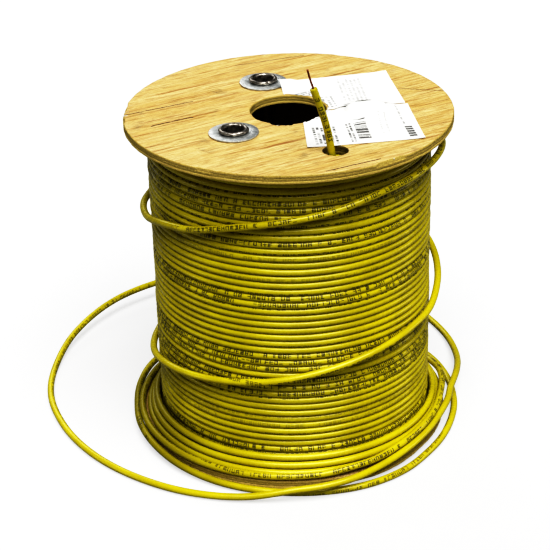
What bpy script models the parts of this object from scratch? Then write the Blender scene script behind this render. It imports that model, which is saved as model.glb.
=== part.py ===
"""Reel of yellow single-conductor underground wire.

Two plywood flanges are clamped on a paperboard barrel by three flared steel tie
tubes with a washer under each flared end.  The wire is wound on the barrel between
the flanges; its start end comes up through a hole in the upper flange, and its last
turns hang loose round the winding, on the lower flange and on the floor.

Units are metres, +Z is up, the arbor axis is x = y = 0.  Heights below are counted
from the floor the reel stands on; the root empty shifts everything down by
ORIGIN_HEIGHT, so that the origin is on the arbor axis at the centre of mass.
Angles are in degrees, counted from +X towards +Y.
"""

import math

import bmesh
import bpy
from mathutils import Vector

MM = 0.001

# ---------------------------------------------------------------- driving dimensions
ORIGIN_HEIGHT = 93.4 * MM      # height of the origin above the floor
GAP = 0.3 * MM                 # clearance kept between neighbouring solids

FLANGE_RADIUS = 89.4 * MM      # 7 in plywood discs
FLANGE_THICK = 4.6 * MM        # 3/16 in plywood
TRAVERSE = 175.7 * MM          # clear width between the flanges
ARBOR_RADIUS = 20.3 * MM       # 1 5/8 in arbor hole
START_HOLE_RADIUS = 6.35 * MM  # 1/2 in hole for the start end of the wire
START_HOLE = (23.6 * MM, -58.3 * MM)
GROOVE_DEPTH = 1.2 * MM        # seat for the barrel in each flange

BARREL_RADIUS = 55.0 * MM
BARREL_WALL = 4.6 * MM
BARREL_BORE = BARREL_RADIUS - BARREL_WALL

TIE_CIRCLE = 43.3 * MM         # the tie tubes stand on this circle
TIE_ANGLES = [-131.7 + turn for turn in (0, 240, 120)]
TUBE_RADIUS = 6.35 * MM        # 1/2 in steel tube
TUBE_WALL = 0.85 * MM
LIP_RADIUS = 8.0 * MM          # flared end
TOP_LIP = 1.8 * MM
FOOT_LIP = 1.0 * MM            # the lower flares are rolled flatter: the reel's feet
WASHER_RADIUS = 13.3 * MM
WASHER_BORE = 7.0 * MM
WASHER_THICK = 0.8 * MM
WASHER_SPACE = GAP + WASHER_THICK + GAP      # from a flange to a flared end

WIRE_RADIUS = 3.83 * MM / 2    # over the jacket
COPPER_RADIUS = 1.02 * MM / 2  # 18 AWG solid copper
PACK_RADIUS = 77.5 * MM        # outside of the tight winding

# Faces of the lower and the upper flange
LOW_BASE = FOOT_LIP + WASHER_SPACE
LOW_TOP = LOW_BASE + FLANGE_THICK
HIGH_BASE = LOW_TOP + TRAVERSE
HIGH_TOP = HIGH_BASE + FLANGE_THICK

# Where the start end leaves the flange, in the start hole
TAIL_PIVOT = (21.9 * MM, -61.3 * MM, HIGH_BASE + 1.6 * MM)

# ---------------------------------------------------------------- clean start
for old in list(bpy.data.objects):
    bpy.data.objects.remove(old, do_unlink=True)

parts = bpy.data.collections.new("wire_spool")
cutters = bpy.data.collections.new("cutters")
for collection in (parts, cutters):
    bpy.context.scene.collection.children.link(collection)


# ---------------------------------------------------------------- materials
def material(name, colour, rough, metal=0.0):
    mat = bpy.data.materials.new(name)
    mat.use_nodes = True
    shader = mat.node_tree.nodes["Principled BSDF"]
    shader.inputs["Base Color"].default_value = (*colour, 1.0)
    shader.inputs["Roughness"].default_value = rough
    shader.inputs["Metallic"].default_value = metal
    mat.diffuse_color = (*colour, 1.0)
    return mat


PLY = material("plywood", colour=(0.80, 0.58, 0.27), rough=0.6)
BOARD = material("paperboard", colour=(0.46, 0.36, 0.24), rough=0.85)
STEEL = material("tube_steel", colour=(0.30, 0.28, 0.25), rough=0.3, metal=1.0)
ZINC = material("zinc_plate", colour=(0.62, 0.64, 0.66), rough=0.4, metal=1.0)
JACKET = material("yellow_jacket", colour=(0.52, 0.44, 0.02), rough=0.38)
COPPER = material("copper", colour=(0.45, 0.17, 0.09), rough=0.35, metal=1.0)
PAPER = material("label_paper", colour=(0.90, 0.90, 0.89), rough=0.55)


# ---------------------------------------------------------------- object helpers
def empty(name, location, parent=None):
    obj = bpy.data.objects.new(name, None)
    obj.empty_display_size = 20 * MM
    obj.location = location
    obj.parent = parent
    parts.objects.link(obj)
    return obj


def place(name, data, mat, parent, location=(0.0, 0.0, 0.0)):
    """Make an object of mesh or curve data; one without a material is a hidden cutter."""
    obj = bpy.data.objects.new(name, data)
    obj.parent = parent
    obj.location = location
    if mat is None:
        cutters.objects.link(obj)
        obj.hide_render = True
        obj.display_type = "WIRE"
    else:
        parts.objects.link(obj)
        data.materials.append(mat)
    return obj


def cut(obj, tool):
    mod = obj.modifiers.new("cut_" + tool.name, "BOOLEAN")
    mod.operation = "DIFFERENCE"
    mod.solver = "EXACT"
    mod.object = tool


def cylinder_mesh(name, radius, height, sides):
    """Upright cylinder centred on its origin."""
    mesh = bpy.data.meshes.new(name)
    bm = bmesh.new()
    bmesh.ops.create_cone(
        bm, cap_ends=True, segments=sides, radius1=radius, radius2=radius, depth=height
    )
    bm.to_mesh(mesh)
    bm.free()
    return mesh


def drill(name, x, y, radius, bottom, top, sides):
    """A round cutter standing on (x, y)."""
    mesh = cylinder_mesh(name, radius, top - bottom, sides)
    return place(name, mesh, None, reel, (x, y, (bottom + top) / 2))


def turned(name, profile, steps, mat, location=(0.0, 0.0, 0.0)):
    """Screw a closed profile of (radius, height) points round Z.

    The points run down the outer side and up the inner side."""
    mesh = bpy.data.meshes.new(name)
    count = len(profile)
    edges = [(i, (i + 1) % count) for i in range(count)]
    mesh.from_pydata([(radius, 0.0, z) for radius, z in profile], edges, [])
    obj = place(name, mesh, mat, reel, location)
    mod = obj.modifiers.new("turn", "SCREW")
    mod.axis = "Z"
    mod.angle = math.tau
    mod.steps = mod.render_steps = steps
    mod.use_merge_vertices = True
    mod.merge_threshold = 0.01 * MM
    mod.use_smooth_shade = True
    return obj


def tube_profile(inner, outer, bottom, top):
    return [(outer, top), (outer, bottom), (inner, bottom), (inner, top)]


def wire_profile(ring_radius, z, sides=6):
    """Section of a wire whose centre line is a level circle."""
    angles = [math.tau * (i + 0.5) / sides for i in range(sides)]
    return [
        (ring_radius + WIRE_RADIUS * math.sin(a), z + WIRE_RADIUS * math.cos(a)) for a in angles
    ]


def wire_curve(name, points, radius, closed):
    """Curve data of a round wire along the points."""
    curve = bpy.data.curves.new(name, "CURVE")
    curve.dimensions = "3D"
    curve.bevel_depth = radius
    curve.bevel_resolution = 2
    curve.twist_mode = "Z_UP"
    curve.use_fill_caps = not closed
    spline = curve.splines.new("POLY")
    spline.points.add(len(points) - 1)
    for slot, point in zip(spline.points, points):
        slot.co = (*point, 1.0)
    spline.use_cyclic_u = closed
    spline.use_smooth = True
    return curve


def wire_mesh(name, points, radius):
    """Mesh of an open wire, its caps welded on so that it is one closed solid."""
    carrier = bpy.data.objects.new(name, wire_curve(name, points, radius, closed=False))
    parts.objects.link(carrier)
    bpy.context.view_layer.update()
    graph = bpy.context.evaluated_depsgraph_get()
    mesh = bpy.data.meshes.new_from_object(carrier.evaluated_get(graph))
    bpy.data.objects.remove(carrier, do_unlink=True)
    bm = bmesh.new()
    bm.from_mesh(mesh)
    bmesh.ops.remove_doubles(bm, verts=bm.verts, dist=0.01 * MM)
    bm.to_mesh(mesh)
    bm.free()
    return mesh


# ---------------------------------------------------------------- path helpers
def polar(radius, degrees, z=0.0):
    angle = math.radians(degrees)
    return Vector((radius * math.cos(angle), radius * math.sin(angle), z))


def smooth_step(value):
    """Ease from 0 to 1 as the value goes from 0 to 1, flat beyond both ends."""
    value = min(1.0, max(0.0, value))
    return value * value * (3 - 2 * value)


def hermite(start, start_slope, end, end_slope, t):
    """Cubic from start to end over t = 0 to 1 with the given end slopes."""
    return (
        start * (2 * t**3 - 3 * t**2 + 1)
        + start_slope * (t**3 - 2 * t**2 + t)
        + end * (3 * t**2 - 2 * t**3)
        + end_slope * (t**3 - t**2)
    )


def ring_through(stations, count):
    """Closed centre line through (degrees, radius mm, height mm) stations in rising angle.

    Radius and height are each a periodic cubic through the stations, read at `count`
    even angles."""
    total = len(stations)

    def slope(index, column):
        before, after = stations[index - 1], stations[(index + 1) % total]
        return (after[column] - before[column]) / ((after[0] - before[0]) % 360.0)

    points = []
    for step in range(count):
        angle = stations[0][0] + 360.0 * step / count
        here = max(k for k in range(total) if stations[k][0] <= angle + 1e-9)
        ahead = (here + 1) % total
        width = (stations[ahead][0] - stations[here][0]) % 360.0
        radius, height = (
            hermite(
                stations[here][column], slope(here, column) * width,
                stations[ahead][column], slope(ahead, column) * width,
                (angle - stations[here][0]) / width,
            )
            for column in (1, 2)
        )
        points.append(polar(radius * MM, angle, height * MM))
    return points


# ---------------------------------------------------------------- root and joint empties
reel = empty("reel", (0.0, 0.0, -ORIGIN_HEIGHT))
upper_axis = empty("upper_slack_axis", (0.0, 0.0, 0.0), reel)
middle_axis = empty("middle_slack_axis", (0.0, 0.0, 0.0), reel)
loop_axis = empty("floor_loop_axis", (0.0, 0.0, 0.0), reel)
tail_pivot = empty("start_end_pivot", TAIL_PIVOT, reel)

# ---------------------------------------------------------------- flange cutters
THROUGH = 20 * MM         # overshoot of the cutters that pass through the whole reel
START_OVERSHOOT = 5 * MM
GROOVE_OVERSHOOT = 2 * MM

tie_places = [polar(TIE_CIRCLE, angle) for angle in TIE_ANGLES]

arbor_cutter = drill("cut_arbor", 0, 0, ARBOR_RADIUS, -THROUGH, HIGH_TOP + THROUGH, sides=48)
start_cutter = drill(
    "cut_start", *START_HOLE, START_HOLE_RADIUS,
    HIGH_BASE - START_OVERSHOOT, HIGH_TOP + START_OVERSHOOT, sides=24,
)
tie_cutters = [
    drill(
        f"cut_tie_{number}", spot.x, spot.y, TUBE_RADIUS + GAP,
        -THROUGH, HIGH_TOP + THROUGH, sides=20,
    )
    for number, spot in enumerate(tie_places, start=1)
]


def groove_cutter(name, bottom, top):
    profile = tube_profile(BARREL_BORE - GAP, BARREL_RADIUS + GAP, bottom, top)
    return turned(name, profile, 48, None)


low_groove = groove_cutter("cut_low_groove", LOW_TOP - GROOVE_DEPTH, LOW_TOP + GROOVE_OVERSHOOT)
high_groove = groove_cutter(
    "cut_high_groove", HIGH_BASE - GROOVE_OVERSHOOT, HIGH_BASE + GROOVE_DEPTH
)


# ---------------------------------------------------------------- flanges
def flange(name, base, tools):
    mesh = cylinder_mesh(name, FLANGE_RADIUS, FLANGE_THICK, sides=80)
    mesh.shade_smooth()
    mesh.set_sharp_from_angle(angle=math.radians(35))
    disc = place(name, mesh, PLY, reel, (0.0, 0.0, base + FLANGE_THICK / 2))
    for tool in tools:
        cut(disc, tool)


flange("bottom_flange", LOW_BASE, [arbor_cutter, *tie_cutters, low_groove])
flange("top_flange", HIGH_BASE, [arbor_cutter, *tie_cutters, high_groove, start_cutter])

# ---------------------------------------------------------------- barrel
barrel_seat = GROOVE_DEPTH - GAP     # how far the barrel reaches into each flange
turned(
    "barrel",
    tube_profile(BARREL_BORE, BARREL_RADIUS, LOW_TOP - barrel_seat, HIGH_BASE + barrel_seat),
    48, BOARD,
)


# ---------------------------------------------------------------- tie tubes and washers
def tie_profile():
    """Tube wall with a rounded flare at each end."""
    bore = TUBE_RADIUS - TUBE_WALL
    seat = HIGH_TOP + WASHER_SPACE   # underside of the upper flare
    top = seat + TOP_LIP
    return [
        # upper flare, from the mouth of the bore out and down to its seat
        (bore + 0.35 * MM, top - 0.35 * MM),
        (TUBE_RADIUS + 0.35 * MM, top),
        (LIP_RADIUS - 0.45 * MM, top - 0.25 * MM),
        (LIP_RADIUS, top - 0.9 * MM),
        (LIP_RADIUS - 0.2 * MM, seat),
        # outside of the tube
        (TUBE_RADIUS, seat),
        (TUBE_RADIUS, FOOT_LIP),
        # lower flare, down to the floor and in to the bore
        (LIP_RADIUS - 0.3 * MM, FOOT_LIP),
        (LIP_RADIUS, FOOT_LIP - 0.4 * MM),
        (LIP_RADIUS - 0.4 * MM, 0.0),
        (bore + 0.7 * MM, 0.0),
        # bore
        (bore, 0.7 * MM),
        (bore, top - 0.9 * MM),
    ]


def washer(name, bottom, location):
    profile = tube_profile(WASHER_BORE, WASHER_RADIUS, bottom, bottom + WASHER_THICK)
    turned(name, profile, 28, ZINC, location)


for number, spot in enumerate(tie_places, start=1):
    turned(f"tie_tube_{number}", tie_profile(), 20, STEEL, spot)
    washer(f"top_washer_{number}", HIGH_TOP + GAP, spot)
    washer(f"bottom_washer_{number}", LOW_BASE - GAP - WASHER_THICK, spot)

# ---------------------------------------------------------------- tight winding
turned(
    "wire_pack",
    tube_profile(BARREL_RADIUS + GAP, PACK_RADIUS, LOW_TOP + GAP, HIGH_BASE - GAP),
    64, JACKET,
)

# ---------------------------------------------------------------- heap on the lower flange
# Turns that have slid down and lie in a heap on the rim of the lower flange: three on
# the plywood, one in the valley above them and one against the winding.
HEAP_PITCH = 2 * WIRE_RADIUS + GAP
HEAP_RISE = math.sqrt(HEAP_PITCH**2 - (HEAP_PITCH / 2) ** 2)   # from layer to layer
HEAP_BED = LOW_TOP + GAP + WIRE_RADIUS                         # height of the lowest layer
HEAP_RADIUS = PACK_RADIUS + GAP + WIRE_RADIUS + 0.2 * MM       # ring radius of column 0

# Level turns: number, column outwards, layer upwards
LEVEL_TURNS = [(1, 0.0, 0), (2, 1.0, 0), (4, 0.5, 1), (5, 0.0, 2)]
for number, column, layer in LEVEL_TURNS:
    profile = wire_profile(HEAP_RADIUS + column * HEAP_PITCH, HEAP_BED + layer * HEAP_RISE)
    turned(f"base_turn_{number}", profile, 48, JACKET)

# ---------------------------------------------------------------- uneven turns
# Each table is a closed centre line; its columns are degrees, radius mm, height mm.

# The outermost turn of the heap climbs into the next valley where the wide loop lies
# on the rim.
BASE_TURN_3 = [
    (-180, 88.9, 9.27), (-140, 88.6, 9.27), (-115, 88.3, 9.3), (-100, 88.2, 9.5),
    (-90, 88.2, 9.9), (-80, 88.2, 10.3), (-70, 87.8, 11.4), (-60, 87.6, 12.3),
    (-50, 87.0, 14.1), (-40, 86.0, 15.0), (-30, 85.5, 15.7), (-20, 85.1, 15.9),
    (-8, 84.9, 15.9), (4, 86.6, 14.4), (14, 88.3, 12.0), (24, 88.8, 9.9),
    (36, 88.4, 9.3), (80, 88.3, 9.3), (130, 88.4, 9.3), (160, 88.8, 9.3),
]

# A slack turn round the lower flange, on the floor but for its -X side, which hugs the
# rim.
ON_FLOOR = (WIRE_RADIUS + GAP) / MM
FLOOR_TURN = [
    (-180, 92.3, 5.2), (-165, 92.0, 6.0), (-150, 91.98, 5.6), (-135, 91.98, 4.2),
    (-118, 91.98, 3.0), (-98, 91.98, 2.3), (-82, 93.0, ON_FLOOR), (-66, 94.2, ON_FLOOR),
    (-50, 93.6, ON_FLOOR), (-38, 92.0, ON_FLOOR), (-26, 91.7, ON_FLOOR),
    (-14, 91.9, ON_FLOOR), (-2, 93.0, ON_FLOOR), (8, 94.0, ON_FLOOR),
    (35, 98.5, ON_FLOOR), (75, 102.0, ON_FLOOR), (115, 103.5, ON_FLOOR),
    (145, 101.5, 2.8), (163, 96.0, 4.4),
]

# Two slack turns that hang round the winding.
UPPER_SLACK = [
    (-180, 81.6, 137.0), (-164, 80.8, 136.8), (-147, 80.4, 141.8), (-130, 80.4, 146.2),
    (-113, 80.4, 152.5), (-95, 80.4, 157.4), (-75, 80.6, 161.8), (-55, 81.1, 167.0),
    (-38, 82.0, 168.8), (-18, 83.0, 170.0), (0, 83.0, 168.0), (30, 82.0, 162.0),
    (60, 81.0, 155.0), (95, 80.6, 147.5), (135, 80.8, 140.5),
]
MIDDLE_SLACK = [
    (-180, 81.0, 48.4), (-166, 80.6, 50.0), (-150, 80.4, 54.0), (-125, 80.4, 59.2),
    (-98, 80.4, 64.4), (-75, 80.4, 70.4), (-53, 80.4, 75.5), (-36, 80.5, 78.6),
    (-22, 80.8, 79.6), (-13, 81.2, 82.0), (-4, 82.0, 87.6), (5, 81.8, 93.4),
    (18, 81.0, 98.4), (38, 80.6, 99.0), (68, 80.5, 91.5), (105, 80.5, 76.0),
    (145, 80.6, 56.0),
]

# The wide loop: out on the floor, and up over the rim on the +X, -Y side.
FLOOR_LOOP = [
    (-174, 136.5, 2.3), (-158, 125.5, 2.3), (-140, 115.0, 2.3), (-122, 107.0, 2.5),
    (-106, 101.2, 3.6), (-92, 98.0, 7.2), (-82, 97.2, 8.4), (-72, 95.4, 9.2),
    (-62, 92.2, 9.7), (-51, 90.2, 11.1), (-40, 88.2, 11.4), (-30, 87.6, 11.9),
    (-20, 87.8, 12.6), (-10, 89.3, 12.7), (0, 91.4, 12.7), (13, 99.4, 10.4),
    (28, 112.0, 5.2), (42, 126.0, 2.4), (60, 143.0, 2.6), (84, 160.0, 5.6),
    (108, 168.0, 9.6), (130, 168.2, 10.2), (148, 161.5, 6.8), (161, 154.5, 2.6),
    (173, 146.6, 2.3),
]

for name, stations, count, parent in (
    ("base_turn_3", BASE_TURN_3, 64, reel),
    ("floor_turn", FLOOR_TURN, 56, reel),
    ("slack_turn_upper", UPPER_SLACK, 56, upper_axis),
    ("slack_turn_middle", MIDDLE_SLACK, 60, middle_axis),
    ("floor_loop", FLOOR_LOOP, 72, loop_axis),
):
    curve = wire_curve(name, ring_through(stations, count), WIRE_RADIUS, closed=True)
    place(name, curve, JACKET, parent)

# ---------------------------------------------------------------- start end of the wire
# It stands up out of the start hole and leans towards -X; the copper is bare at its end
# and runs down into a bore in the jacket. Lengths are counted upwards from the pivot.
JACKET_START = -1.2 * MM
JACKET_END = 39.1 * MM
BARE_LENGTH = 10.6 * MM
COPPER_DEPTH = 13 * MM          # how far the copper runs into the jacket
BORE_DEPTH = 14 * MM
BORE_OVERSHOOT = 5 * MM
BORE_RADIUS = COPPER_RADIUS + 1.2 * GAP
LEAN_LOW = math.radians(7.0)    # lean at the pivot
LEAN_GROWTH = math.radians(7.0)
LEAN_LENGTH = 46 * MM           # length over which the lean grows


def tail_path(start, end, count):
    """Points from length start to length end, relative to the pivot."""
    points = []
    for i in range(count):
        length = start + (end - start) * i / (count - 1)
        lean = LEAN_LOW + LEAN_GROWTH * smooth_step(length / LEAN_LENGTH)
        points.append((-length * math.sin(lean), 0.0, length * math.cos(lean)))
    return points


def start_end():
    name = "start_end_jacket"
    path = tail_path(JACKET_START, JACKET_END, 8)
    jacket = place(name, wire_mesh(name, path, WIRE_RADIUS), JACKET, tail_pivot)

    name = "cut_jacket_bore"
    path = tail_path(JACKET_END - BORE_DEPTH, JACKET_END + BORE_OVERSHOOT, 6)
    cut(jacket, place(name, wire_mesh(name, path, BORE_RADIUS), None, tail_pivot))

    name = "start_end_conductor"
    path = tail_path(JACKET_END - COPPER_DEPTH, JACKET_END + BARE_LENGTH, 6)
    place(name, wire_curve(name, path, COPPER_RADIUS, closed=False), COPPER, tail_pivot)


start_end()

# ---------------------------------------------------------------- paper labels
LABEL_THICK = 0.25 * MM
DRAPE_WIDTH = 5.0 * MM     # width over which a label slopes down to the flange
TEAR_MARGIN = 0.9 * MM     # the labels are torn away this far outside the arbor hole
# What a label drapes over at each tie: radius of the flat, height above the flange
DRAPE_STEPS = [
    (WASHER_RADIUS + 1.2 * MM, WASHER_SPACE),
    (LIP_RADIUS + 1.6 * MM, WASHER_SPACE + TOP_LIP + GAP + 0.2 * MM),
]

tear_cutter = drill(
    "cut_label_tear", 0, 0, ARBOR_RADIUS + TEAR_MARGIN,
    HIGH_TOP - 10 * MM, HIGH_TOP + 20 * MM, sides=40,
)


def drape_height(x, y):
    """Height of a label above the flange at (x, y)."""
    height = GAP
    for spot in tie_places:
        distance = math.hypot(x - spot.x, y - spot.y)
        for radius, top in DRAPE_STEPS:
            fall = smooth_step((distance - radius) / DRAPE_WIDTH)
            height = max(height, GAP + (top - GAP) * (1.0 - fall))
    return height


def label(name, corners):
    """Sheet over four corners (mm, counter-clockwise), draped over the tie hardware."""
    mesh = bpy.data.meshes.new(name)
    bm = bmesh.new()
    bmesh.ops.create_grid(bm, x_segments=14, y_segments=12, size=0.5)
    first, second, third, fourth = (Vector((x * MM, y * MM)) for x, y in corners)
    for vert in bm.verts:
        across, along = vert.co.x + 0.5, vert.co.y + 0.5
        near = first * (1 - across) + second * across
        far = fourth * (1 - across) + third * across
        x, y = near * (1 - along) + far * along
        vert.co = (x, y, HIGH_TOP + drape_height(x, y))
    bm.to_mesh(mesh)
    bm.free()
    sheet = place(name, mesh, PAPER, reel)
    thickness = sheet.modifiers.new("thickness", "SOLIDIFY")
    thickness.thickness = LABEL_THICK
    thickness.offset = 1.0
    cut(sheet, tear_cutter)


label("label_upper", [(1.4, -6.0), (63.4, 4.8), (55.8, 53.9), (-4.8, 40.8)])
label("label_lower", [(9.3, -54.6), (70.4, -45.4), (64.5, 3.0), (7.3, -7.6)])
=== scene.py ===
import math

import bpy
import numpy as np
from mathutils import Matrix, Vector
from mathutils.geometry import delaunay_2d_cdt


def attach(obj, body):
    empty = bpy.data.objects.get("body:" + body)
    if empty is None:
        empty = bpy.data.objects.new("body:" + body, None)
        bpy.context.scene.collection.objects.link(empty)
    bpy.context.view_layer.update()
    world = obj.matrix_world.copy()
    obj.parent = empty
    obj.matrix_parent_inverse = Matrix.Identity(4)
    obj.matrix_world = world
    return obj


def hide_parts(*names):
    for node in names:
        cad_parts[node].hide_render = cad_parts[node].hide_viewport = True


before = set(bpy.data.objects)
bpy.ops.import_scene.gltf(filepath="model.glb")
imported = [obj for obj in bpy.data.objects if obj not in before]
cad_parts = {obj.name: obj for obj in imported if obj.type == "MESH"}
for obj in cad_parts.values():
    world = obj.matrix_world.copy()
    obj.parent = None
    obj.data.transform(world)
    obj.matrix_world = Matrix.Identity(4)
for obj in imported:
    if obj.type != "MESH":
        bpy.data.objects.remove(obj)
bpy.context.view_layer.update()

RNG = np.random.default_rng(20)

# Lengths below are in millimetres, and heights are above the floor. The part's origin is
# on the arbor axis at this height.
MM = 0.001
ORIGIN_HEIGHT = 93.4

FLANGE_R, ARBOR_R, BARREL_R = 89.4, 20.3, 55.0
LOW_FOOT, LOW_TOP, HIGH_LOW, HIGH_TOP = 2.4, 7.0, 182.7, 187.3
WIRE_R = 1.915
PACK_R = 77.5
TIES = [(43.3 * math.cos(math.radians(a)), 43.3 * math.sin(math.radians(a))) for a in (-131.7, 108.3, -11.7)]
START_HOLE = (23.6, -58.3, 6.35)
GRAIN = math.radians(29.0)  # the face veneer's grain, from +X


# ---------------------------------------------------------------- node materials
class Val:
    """A shader value; sums and products of these make Math nodes."""

    def __init__(self, paint, out):
        self.paint, self.out = paint, out

    def __add__(self, b):
        return self.paint.math("ADD", self, b)

    def __sub__(self, b):
        return self.paint.math("SUBTRACT", self, b)

    def __rsub__(self, b):
        return self.paint.math("SUBTRACT", b, self)

    def __mul__(self, b):
        return self.paint.math("MULTIPLY", self, b)

    def __truediv__(self, b):
        return self.paint.math("DIVIDE", self, b)

    __radd__, __rmul__ = __add__, __mul__

    def below(self, b):
        return self.paint.math("LESS_THAN", self, b)

    def above(self, b):
        return self.paint.math("GREATER_THAN", self, b)

    def size(self):
        return self.paint.math("ABSOLUTE", self)

    def floor(self):
        return self.paint.math("FLOOR", self)

    def part(self):
        return self.paint.math("FRACT", self)

    def most(self, b):
        return self.paint.math("MAXIMUM", self, b)

    def least(self, b):
        return self.paint.math("MINIMUM", self, b)


class Paint:
    """One material: a Principled shader fed by procedural nodes."""

    def __init__(self, name):
        self.mat = bpy.data.materials.new(name)
        self.mat.use_nodes = True
        self.tree = self.mat.node_tree
        self.tree.nodes.clear()
        end = self.tree.nodes.new("ShaderNodeOutputMaterial")
        self.bsdf = self.tree.nodes.new("ShaderNodeBsdfPrincipled")
        self.tree.links.new(self.bsdf.outputs["BSDF"], end.inputs["Surface"])

    def put(self, socket, value):
        if isinstance(value, Val):
            self.tree.links.new(value.out, socket)
        elif isinstance(value, (tuple, list)) and len(value) == 3 and len(socket.default_value) == 4:
            socket.default_value = (*value, 1.0)
        else:
            socket.default_value = value

    def set(self, **inputs):
        for key, value in inputs.items():
            self.put(self.bsdf.inputs[key.replace("_", " ")], value)
        return self.mat

    def math(self, kind, *values):
        n = self.tree.nodes.new("ShaderNodeMath")
        n.operation = kind
        for i, v in enumerate(values):
            self.put(n.inputs[i], v)
        return Val(self, n.outputs[0])

    def vec(self, x, y, z=0.0):
        n = self.tree.nodes.new("ShaderNodeCombineXYZ")
        for i, v in enumerate((x, y, z)):
            self.put(n.inputs[i], v)
        return Val(self, n.outputs[0])

    def noise(self, where, scale=1.0, detail=3.0, rough=0.55, warp=0.0):
        n = self.tree.nodes.new("ShaderNodeTexNoise")
        self.put(n.inputs["Vector"], where)
        self.put(n.inputs["Scale"], scale)
        self.put(n.inputs["Detail"], detail)
        self.put(n.inputs["Roughness"], rough)
        self.put(n.inputs["Distortion"], warp)
        return Val(self, n.outputs[0])

    def cells(self, where, scale=1.0, feature="F1"):
        n = self.tree.nodes.new("ShaderNodeTexVoronoi")
        n.feature = feature
        self.put(n.inputs["Vector"], where)
        self.put(n.inputs["Scale"], scale)
        return Val(self, n.outputs["Distance"])

    def hash(self, w):
        n = self.tree.nodes.new("ShaderNodeTexWhiteNoise")
        n.noise_dimensions = "1D"
        self.put(n.inputs["W"], w)
        return Val(self, n.outputs["Value"])

    def step(self, x, low, high, to_low=0.0, to_high=1.0):
        n = self.tree.nodes.new("ShaderNodeMapRange")
        n.interpolation_type = "SMOOTHSTEP"
        for i, v in enumerate((x, low, high, to_low, to_high)):
            self.put(n.inputs[i], v)
        return Val(self, n.outputs[0])

    def mix(self, share, a, b, kind="MIX"):
        n = self.tree.nodes.new("ShaderNodeMix")
        n.data_type = "RGBA"
        n.blend_type = kind
        self.put(n.inputs[0], share)
        self.put(n.inputs[6], a)
        self.put(n.inputs[7], b)
        return Val(self, n.outputs[2])

    def place(self):
        """x, y and height above the floor, in mm."""
        tex = self.tree.nodes.new("ShaderNodeTexCoord")
        sep = self.tree.nodes.new("ShaderNodeSeparateXYZ")
        self.tree.links.new(tex.outputs["Object"], sep.inputs[0])
        x, y, z = (Val(self, sep.outputs[i]) * 1000.0 for i in range(3))
        return x, y, z + ORIGIN_HEIGHT

    def wire_uv(self):
        """Length along the wire in mm, and arc from the print line in mm."""
        uv = self.tree.nodes.new("ShaderNodeUVMap")
        uv.uv_map = "wire"
        sep = self.tree.nodes.new("ShaderNodeSeparateXYZ")
        self.tree.links.new(uv.outputs[0], sep.inputs[0])
        return Val(self, sep.outputs[0]), Val(self, sep.outputs[1]) * (2 * math.pi * WIRE_R)

    def attribute(self, name):
        n = self.tree.nodes.new("ShaderNodeAttribute")
        n.attribute_name = name
        return Val(self, n.outputs["Fac"])

    def bump(self, height, depth_mm, strength=1.0):
        n = self.tree.nodes.new("ShaderNodeBump")
        self.put(n.inputs["Height"], height)
        self.put(n.inputs["Distance"], depth_mm * MM)
        self.put(n.inputs["Strength"], strength)
        return Val(self, n.outputs[0])


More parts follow.
